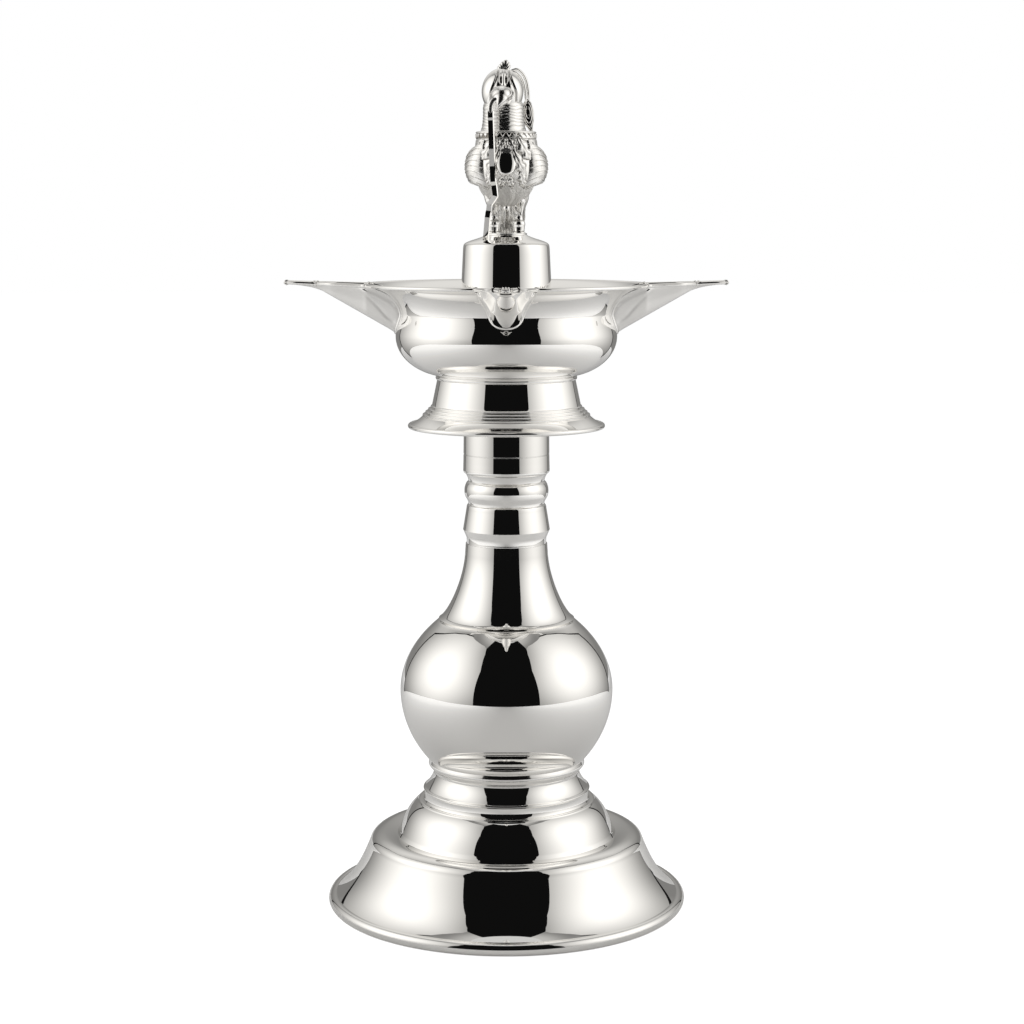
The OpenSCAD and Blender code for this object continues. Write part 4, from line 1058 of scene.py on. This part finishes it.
# %% Plume
plume_path = [(1.2, 1.2, 295.9), (3.1, 1.8, 296.3), (5.0, 2.4, 295.1), (6.35, 3.0, 292.9), (7.0, 3.5, 290.2),
              (7.3, 3.9, 287.4), (7.4, 4.2, 285.6)]
for name, shift, radius in (("plume_outer_strand", (0.45, 0.1, 0.36), 0.52),
                            ("plume_inner_strand", (-0.50, -0.2, -0.45), 0.50)):
    path = [Vector(p) + Vector(shift) for p in plume_path]
    cast(name, swept(path, [radius * k for k in (0.5, 0.95, 1, 1, 1, 0.9, 0.6)], 20), material=bright_chased)


def feather_relief(u, v):
    """Arcs that lie one in the other, and a shaft."""
    t = cos(2 * pi * u)
    nested = hypot(t, (v - 0.42) * 2.5)
    rings = 0.5 + 0.5 * cos(2 * pi * nested * 3.2)
    fade = soft(v / 0.1) * soft((1 - v) / 0.15)
    return fade * (0.16 * rings - 0.10 - 0.08 * bump(t, 0.08)), fade * (1 - rings) ** 2 * 0.9


feather_path = [(7.3, 4.2, 286.6), (7.35, 4.2, 285.0), (7.5, 4.1, 282.4), (7.8, 4.0, 279.6),
                (8.3, 3.9, 277.0), (9.2, 3.8, 274.8)]
feather = swept(feather_path, (0.3, 1.5, 2.05, 1.9, 1.1, 0.15), 64, 0.55, (0, 1, 0), feather_relief)
cast("plume_feather", feather, "bird_plume", material=bright_chased)

# %% Strap
strap_path = [(-7.3, -9.9, 237.9), (-6.55, -11.45, 245.8), (-6.3, -11.3, 247.5), (-6.1, -11.3, 248.1),
              (-5.9, -11.6, 250.2), (-3.85, -12.8, 253.1), (-4.3, -12.4, 256.7), (-4.6, -12.9, 257.9),
              (-4.85, -11.9, 262.8), (-4.9, -11.9, 263.2), (-5.1, -12.95, 269.0), (-5.4, -11.5, 278.4),
              (-5.45, -11.5, 278.7), (-5.45, -11.78, 279.6), (-5.5, -11.6, 281.9)]
# Across the strap and back from its filed face: the face, its bevel on the right, and the back
STRAP = [(-0.85, 0.0), (0.85, 0.0), (1.2, 0.4), (1.1, 0.8), (-0.85, 0.8)]


def ribbon(path, section):
    """A closed bar with flat faces, bent at each point of its path, from the bottom up."""
    last = len(path) - 1

    def place(u, v):
        j = round(v * (last + 2))
        i = min(max(j - 1, 0), last)
        along = (Vector(path[min(i + 1, last)]) - Vector(path[max(i - 1, 0)])).normalized()
        across = Vector((0, 1, 0)).cross(along).normalized()
        x, back = section[round(u * len(section)) % len(section)]
        if j in (0, last + 2):
            x, back = 0.1, 0.4
        return tuple(Vector(path[i]) + across * x - across.cross(along) * back)
    return spread(len(section), last + 2, place)


cast("beak_garland_strap", ribbon(strap_path, STRAP), "bird_strap", material=bright_chased,
     slot="silver", sharp=4)
hook_path = [(-5.45, -11.2, 280.9), (-5.4, -11.2, 282.6), (-5.1, -11.1, 284.2), (-4.3, -11.0, 285.4),
             (-3.2, -10.9, 285.6), (-2.2, -10.6, 285.0)]
cast("beak_garland_hook", swept(hook_path, (0.8, 1.0, 1.0, 0.95, 0.8, 0.5), 24, 0.6), material=chased,
     slot="silver")

# %% [markdown]
# ## Wings and tail
# Each wing is a shell of feather rows. The grid's lines follow the rows, so that a row can step
# down crisply to the next one. The tail falls behind the perch, and its eyes are nested ovals in
# staggered rows.

# %% Wings
WING_ROWS = 8
WING_START, WING_SWEEP = 44, 106
WING_SWELL = 3.8
WING_SHEET = 0.6


def wing_point(side, u, v):
    """The place on a wing: u runs from its front edge to its back edge, and v from its lowest row up."""
    row = min(v * WING_ROWS, WING_ROWS - 1e-6)
    step = row - int(row)
    k = WING_ROWS - v * WING_ROWS
    front_z, side_z, rear_z = 271.2 - 2.15 * k, 268.0 - 1.375 * k, 270.6 - 1.95 * k
    z = front_z + (side_z - front_z) * soft(u / 0.45) + (rear_z - side_z) * soft((u - 0.45) / 0.55)
    z += 1.2 * sin(pi * min(u / 0.45, 1))
    across = (u * 5 + 0.5 * (int(row) % 2)) % 1
    z -= 0.35 * (1 - (2 * across - 1) ** 2) * sin(pi * u) * (1 - step)
    shape = sin(pi * u) ** 0.55 * soft(v / 0.07) * soft((1 - v) / 0.05)
    swell = WING_SWELL * sin(pi * min(max(0.05 + 0.90 * (z - 253.4) / 18.0, 0.02), 0.98)) ** 0.6
    barbs = 0.5 + 0.5 * cos(2 * pi * (step * 3.2 + abs(across - 0.5) * 2.2))
    shaft = bump(across - 0.5, 0.07) * step
    r = lookup(z, body_table) - 0.4 + shape * (swell - 0.20 + 0.32 * (1 - step) - 0.05 * shaft - 0.05 * barbs)
    dark = min(0.85 * bump(step - 0.97, 0.10) + 0.25 * (1 - barbs) ** 2 + 0.2 * shaft, 1)
    away = radians(WING_START + WING_SWEEP * u)
    return side * r * sin(away), -r * cos(away), z, dark


for name, side in (("right", 1), ("left", -1)):
    bm = spread(150, WING_ROWS * 10, lambda u, v: wing_point(side, u, v))
    if sum(face.normal.x * side for face in bm.faces) < 0:
        bmesh.ops.reverse_faces(bm, faces=bm.faces[:])
    wing = cast("peacock_wing_" + name, bm, "bird_wing_" + name)
    shell = wing.modifiers.new("shell", "SOLIDIFY")
    shell.thickness = WING_SHEET * MM
    shell.offset = -1

# %% Tail
# Stations down the tail: distance behind the axis, half width and height
TAIL = [(8.1, 4.1, 266.0), (12.7, 4.36, 264.5), (16.45, 5.28, 260.9), (19.45, 6.27, 254.7),
        (21.45, 6.6, 247.7), (22.8, 5.94, 240.7), (23.5, 3.2, 235.4)]
EYE_W, EYE_H = 2.9, 5.4
TAIL_LENGTH = 36.0


def tail_relief(u, v):
    """Nested ovals in staggered rows, with barbs between them."""
    half_w = lookup(v * (len(TAIL) - 1), [(i, station[1]) for i, station in enumerate(TAIL)])
    row = v * TAIL_LENGTH / EYE_H
    x = cos(2 * pi * u) * half_w / EYE_W + 0.5 * (int(row) % 2)
    p, q = (x % 1 - 0.5) * 2, (row % 1 - 0.55) * 2
    d = hypot(p, q * 0.85)
    eye = soft((1 - d) / 0.12)
    grooves = bump(d - 0.48, 0.09) + bump(d - 0.74, 0.09)
    barbs = 0.5 + 0.5 * cos(2 * pi * (row * 3.5 + abs(p) * 1.5))
    lift = eye * (0.34 * sqrt(max(1 - d * d, 0)) - 0.16 * grooves) - (1 - eye) * 0.08 * (1 - barbs)
    return lift, min(eye * grooves * 0.8 + (1 - eye) * 0.4 * (1 - barbs) ** 2 + 0.7 * bump(d - 1, 0.1), 1)


tail = swept([(0, y, z) for y, _, z in TAIL], [w for _, w, _ in TAIL], 150, 0.14, (0, 0.7, 0.7),
             tail_relief, 0.8)
cast("peacock_tail", tail, "bird_tail")

# %% [markdown]
# ## Legs
# The legs end in round cuffs on the perch, and above the cuffs they swell into thighs that are
# folded like cloth. Between them hang pointed feathers and one polished bead.

# %% Legs
LEG_X = 4.3
THIGH_Z = 245.6


def leg_relief(a, z, r):
    """Folds on the thigh, and two grooves round the cuff."""
    folds = 0.5 + 0.5 * sin(radians(a) * 5 + 0.4 * z)
    cloth = soft((z - THIGH_Z) / 1.5)
    rings = bump(z - 244.7, 0.16) + bump(z - 240.9, 0.14)
    return 0.20 * cloth * folds - 0.15 * rings, min(0.75 * rings + 0.35 * cloth * (1 - folds) ** 3, 1), 0.0


leg_line = through([(2.3, PERCH_Z), (2.35, 240.6), (2.05, 241.0), (2.15, 242.4), (2.3, 243.6), (2.0, 244.6),
                    (1.5, 245.4), (1.6, 247.0), (2.3, 249.4), (3.3, 252.2), (3.4, 255.0), (2.6, 258.0)], 6)
for name, x in (("right", LEG_X), ("left", -LEG_X)):
    bm = about((x, 0), joined([(0, PERCH_Z)], leg_line, [(0, 258.0)]), leg_relief, 90)
    cast("peacock_leg_" + name, bm, "bird_leg_" + name, material=bright_chased)

# %% Pointed feathers and bead
bm = bmesh.new()
# Place of each feather, heights of its top and tip, and its half width at the top
for x, y, top, tip, width in ((-1.9, -2.6, 251.5, 243.4, 0.62), (-0.6, -2.8, 250.5, 242.4, 0.55),
                              (0.9, -2.4, 250.5, 244.8, 0.55), (2.0, -2.0, 251.5, 246.2, 0.5),
                              (-1.0, 2.4, 251.0, 244.0, 0.6), (1.0, 2.4, 251.0, 244.6, 0.6)):
    made = bmesh.ops.create_cone(bm, cap_ends=True, segments=20, radius1=0.05 * MM, radius2=width * MM,
                                 depth=(top - tip) * MM)["verts"]
    bmesh.ops.translate(bm, verts=made, vec=Vector((x, y, (top + tip) / 2)) * MM)
cast("belly_pointed_feathers", bm, material=bright_chased)
bm = bmesh.new()
ball(bm, (0.05, -3.6, 249.0), (1.15, 1.1, 1.25), segments=32)
cast("belly_bead", bm, material=polished, slot="silver")

# %% [markdown]
# ## The studio
# A mirror shows the room, so the room is built as it was. Two large soft boxes stand on the
# table, one on each side, and reach round from beside the camera to behind the lamp. Between
# them, in front, the studio is dark: that is the black band in the middle of every curve. Behind
# the boxes stands a pale wall, which brightens to the back. Boxes and walls are thin curved cards,
# made by spinning an upright line about the lamp. The light on a box is strongest a little in
# front of its middle and fades to both ends, as cloth lit from behind does. Black strips at its
# far end, its top and its foot are the frame.

# %% Helpers for the room
def grey(value):
    return (value, value, value, 1)


def glowing(name, colour):
    """A material that gives light: the material, its tree, its light and its output."""
    material = bpy.data.materials.new(name)
    material.use_nodes = True
    tree = material.node_tree
    tree.nodes.clear()
    out = tree.nodes.new("ShaderNodeOutputMaterial")
    light = node(tree, "ShaderNodeEmission", Color=colour)
    wire(tree, light.outputs[0], out.inputs["Surface"])
    return material, tree, light, out


def in_the_room(name, bm, material):
    """The bmesh becomes a thing of the studio."""
    mesh = bpy.data.meshes.new(name)
    bm.to_mesh(mesh)
    bm.free()
    mesh.materials.append(material)
    thing = bpy.data.objects.new(name, mesh)
    bpy.context.scene.collection.objects.link(thing)
    return thing


# %% Table
white_table, tree, own_light, out = glowing("white_table", grey(1))
paper = node(tree, "ShaderNodeBsdfDiffuse", Color=grey(0.80))
rays = node(tree, "ShaderNodeLightPath")
lit = node(tree, "ShaderNodeMapRange", To_Max=0.81)
# Painted light from the boxes: the table glows more out to the sides, nearest their feet, and only the mirror
# shows it
place = node(tree, "ShaderNodeTexCoord")
apart = node(tree, "ShaderNodeSeparateXYZ")
aside = node(tree, "ShaderNodeMath", operation="ABSOLUTE")
nearer = node(tree, "ShaderNodeMapRange", From_Min=0.04, From_Max=0.45, To_Min=0.05, To_Max=0.46)
wire(tree, place.outputs["Object"], apart.inputs[0])
wire(tree, apart.outputs["X"], aside.inputs[0])
wire(tree, aside.outputs[0], nearer.inputs["Value"])
wire(tree, nearer.outputs["Result"], lit.inputs["To Min"])
wire(tree, rays.outputs["Is Camera Ray"], lit.inputs["Value"])
wire(tree, lit.outputs["Result"], own_light.inputs["Strength"])
both = node(tree, "ShaderNodeAddShader")
wire(tree, paper.outputs[0], both.inputs[0])
wire(tree, own_light.outputs[0], both.inputs[1])
wire(tree, both.outputs[0], out.inputs["Surface"])
TABLE_R = 6.0
TABLE_DROP = 0.00015
bm = bmesh.new()
bmesh.ops.create_circle(bm, cap_ends=True, radius=TABLE_R, segments=96)
bmesh.ops.translate(bm, verts=bm.verts[:], vec=(0, 0, -TABLE_DROP))
table = in_the_room("table", bm, white_table)
table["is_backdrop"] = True
print("the table is", 2 * TABLE_R, "m wide")

# %% Places of the soft boxes
STUDIO_R = 0.9
WALL_R_SHARE = 1.04
WALL_UP = 78
EYE_Z = 0.085
BOX_START, POST_START, POST_END = 35, 139.5, 141.3
FRAME_START = 100
FRAME_UP = 1.3
FOOT_STRIP_H = 0.009
DARK_END = 50
# Top edge of a soft box as the lamp sees it: degrees from the camera's side, and degrees up
BOX_TOP = [(35, 42), (37.7, 50), (43, 61), (50, 67), (60, 68), (80, 66), (100, 62.7), (110, 57), (121, 46),
           (130, 34.5), (142, 21), (147, 14)]
# Distance of a soft box from the lamp: its far end comes nearer
REACH = [(85, STUDIO_R), (110, 0.70), (POST_END, 0.42)]


def box_reach(away):
    return lookup(away, REACH)


def wall_reach(away):
    return STUDIO_R * WALL_R_SHARE


def top_at(away, more=0.0):
    """Height, in metres, of the top edge of a soft box, with some degrees more."""
    return EYE_Z + box_reach(away) * tan(radians(lookup(away, BOX_TOP) + more))


def frame_top(away):
    return top_at(away, FRAME_UP)


def wall_top(away):
    return EYE_Z + wall_reach(away) * tan(radians(WALL_UP))


def ground_at(away):
    return 0.0


def strip_top(away):
    return FOOT_STRIP_H


# %% Light of the boxes and the wall
BOX_LIGHT = 1.30
BRIGHTEST_AWAY, BRIGHTEST_UP = 84, 26
SPREAD_AWAY, SPREAD_UP = 52, 46
WALL_LIGHT, BACK_LIGHT, CEILING_LIGHT = 0.22, 0.55, 0.30


def glow_at(away, up):
    """Radiance of a soft box in a direction: strongest beside the lamp, and a little above it."""
    return BOX_LIGHT * exp(-((away - BRIGHTEST_AWAY) / SPREAD_AWAY) ** 2
                           - ((up - BRIGHTEST_UP) / SPREAD_UP) ** 2)


def room_light(away, up):
    """Radiance of the pale wall behind the boxes: it brightens to the back and upwards."""
    back = BACK_LIGHT * soft((away - 90) / 80) * soft((up - 8) / 30)
    return WALL_LIGHT + back + CEILING_LIGHT * soft((up - 66) / 12)


# %% Cards
def standing_card(name, start, end, low_at, high_at, material, sign=1, reach_at=box_reach, light_at=glow_at):
    """A curved card that stands round the lamp. Start and end are degrees from the camera's side,
    and low_at and high_at give the heights of its edges there."""
    bm = bmesh.new()
    first = radians(-90 + sign * start)
    line = [bm.verts.new((cos(first), sin(first), i / 24)) for i in range(25)]
    edges = [bm.edges.new(pair) for pair in zip(line, line[1:])]
    bmesh.ops.spin(bm, geom=line + edges, cent=(0, 0, 0), axis=(0, 0, 1), angle=radians(sign * (end - start)),
                   steps=96)
    bmesh.ops.remove_doubles(bm, verts=bm.verts[:], dist=1e-6)
    layer = bm.verts.layers.float.new("glow")
    for vert in bm.verts:
        away = degrees(atan2(abs(vert.co.x), -vert.co.y))
        low, high, reach = low_at(away), high_at(away), reach_at(away)
        vert.co = (vert.co.x * reach, vert.co.y * reach, low + (high - low) * vert.co.z)
        vert[layer] = light_at(away, degrees(atan2(vert.co.z - EYE_Z, reach)))
    card = in_the_room(name, bm, material)
    # A wall shows in the mirrors only: it keeps no light from the table
    card.visible_camera = False
    card.visible_diffuse = reach_at is box_reach
    card.visible_shadow = card.visible_diffuse
    card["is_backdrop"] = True


cloth, tree, light, _ = glowing("soft_box_cloth", (1.0, 0.985, 0.955, 1))
glow = node(tree, "ShaderNodeAttribute", attribute_name="glow")
wire(tree, glow.outputs["Fac"], light.inputs["Strength"])
frame_black = glowing("black_frame", grey(0.006))[0]
dim_cloth = glowing("dark_studio", grey(0.0045))[0]
for side, sign in (("right", 1), ("left", -1)):
    standing_card("soft_box_" + side, BOX_START, POST_START, ground_at, top_at, cloth, sign)
    standing_card("soft_box_post_" + side, POST_START, POST_END, ground_at, top_at, frame_black, sign)
    standing_card("soft_box_top_" + side, FRAME_START, POST_END, top_at, frame_top, frame_black, sign)
    standing_card("soft_box_foot_" + side, FRAME_START, POST_END, ground_at, strip_top, frame_black, sign)
    standing_card("pale_wall_" + side, DARK_END, 180, ground_at, wall_top, cloth, sign, wall_reach,
                  room_light)
standing_card("dark_front", -DARK_END, DARK_END, ground_at, wall_top, dim_cloth, 1, wall_reach)
print("the boxes are up to", round(max(top_at(away) for away in range(BOX_START, 140)), 2), "m high")

# %% [markdown]
# ## The room's light
# The world does three things. The camera sees it white, as the paper behind the lamp. The silver
# mirrors it as a pale ceiling over the boxes. Everything else gets a dim even fill from it.

# %% World and view
def by_ray(ray, others, chosen):
    """One shader for a kind of ray, and another one for the others."""
    mix = node(tree, "ShaderNodeMixShader")
    wire(tree, rays.outputs[ray], mix.inputs[0])
    wire(tree, others.outputs[0], mix.inputs[1])
    wire(tree, chosen.outputs[0], mix.inputs[2])
    return mix


world = bpy.data.worlds.new("room")
bpy.context.scene.world = world
world.use_nodes = True
tree = world.node_tree
tree.nodes.clear()
out = node(tree, "ShaderNodeOutputWorld")
rays = node(tree, "ShaderNodeLightPath")
seen = node(tree, "ShaderNodeBackground", Color=grey(1))
ceiling = node(tree, "ShaderNodeBackground", Color=(0.62, 0.62, 0.61, 1))
fill = node(tree, "ShaderNodeBackground", Color=grey(0.25))
sky = by_ray("Is Camera Ray", by_ray("Is Glossy Ray", fill, ceiling), seen)
wire(tree, sky.outputs[0], out.inputs["Surface"])
bpy.context.scene.view_settings.view_transform = "Standard"

# %% [markdown]
# ## Size of the lamp
# The solids and the finished lamp should fill the same box. The finished lamp's box is printed, in
# millimetres.

# %% Sizes and finish
low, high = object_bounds()
print("size of the lamp  ", [round((b - a) / MM, 2) for a, b in zip(low, high)])
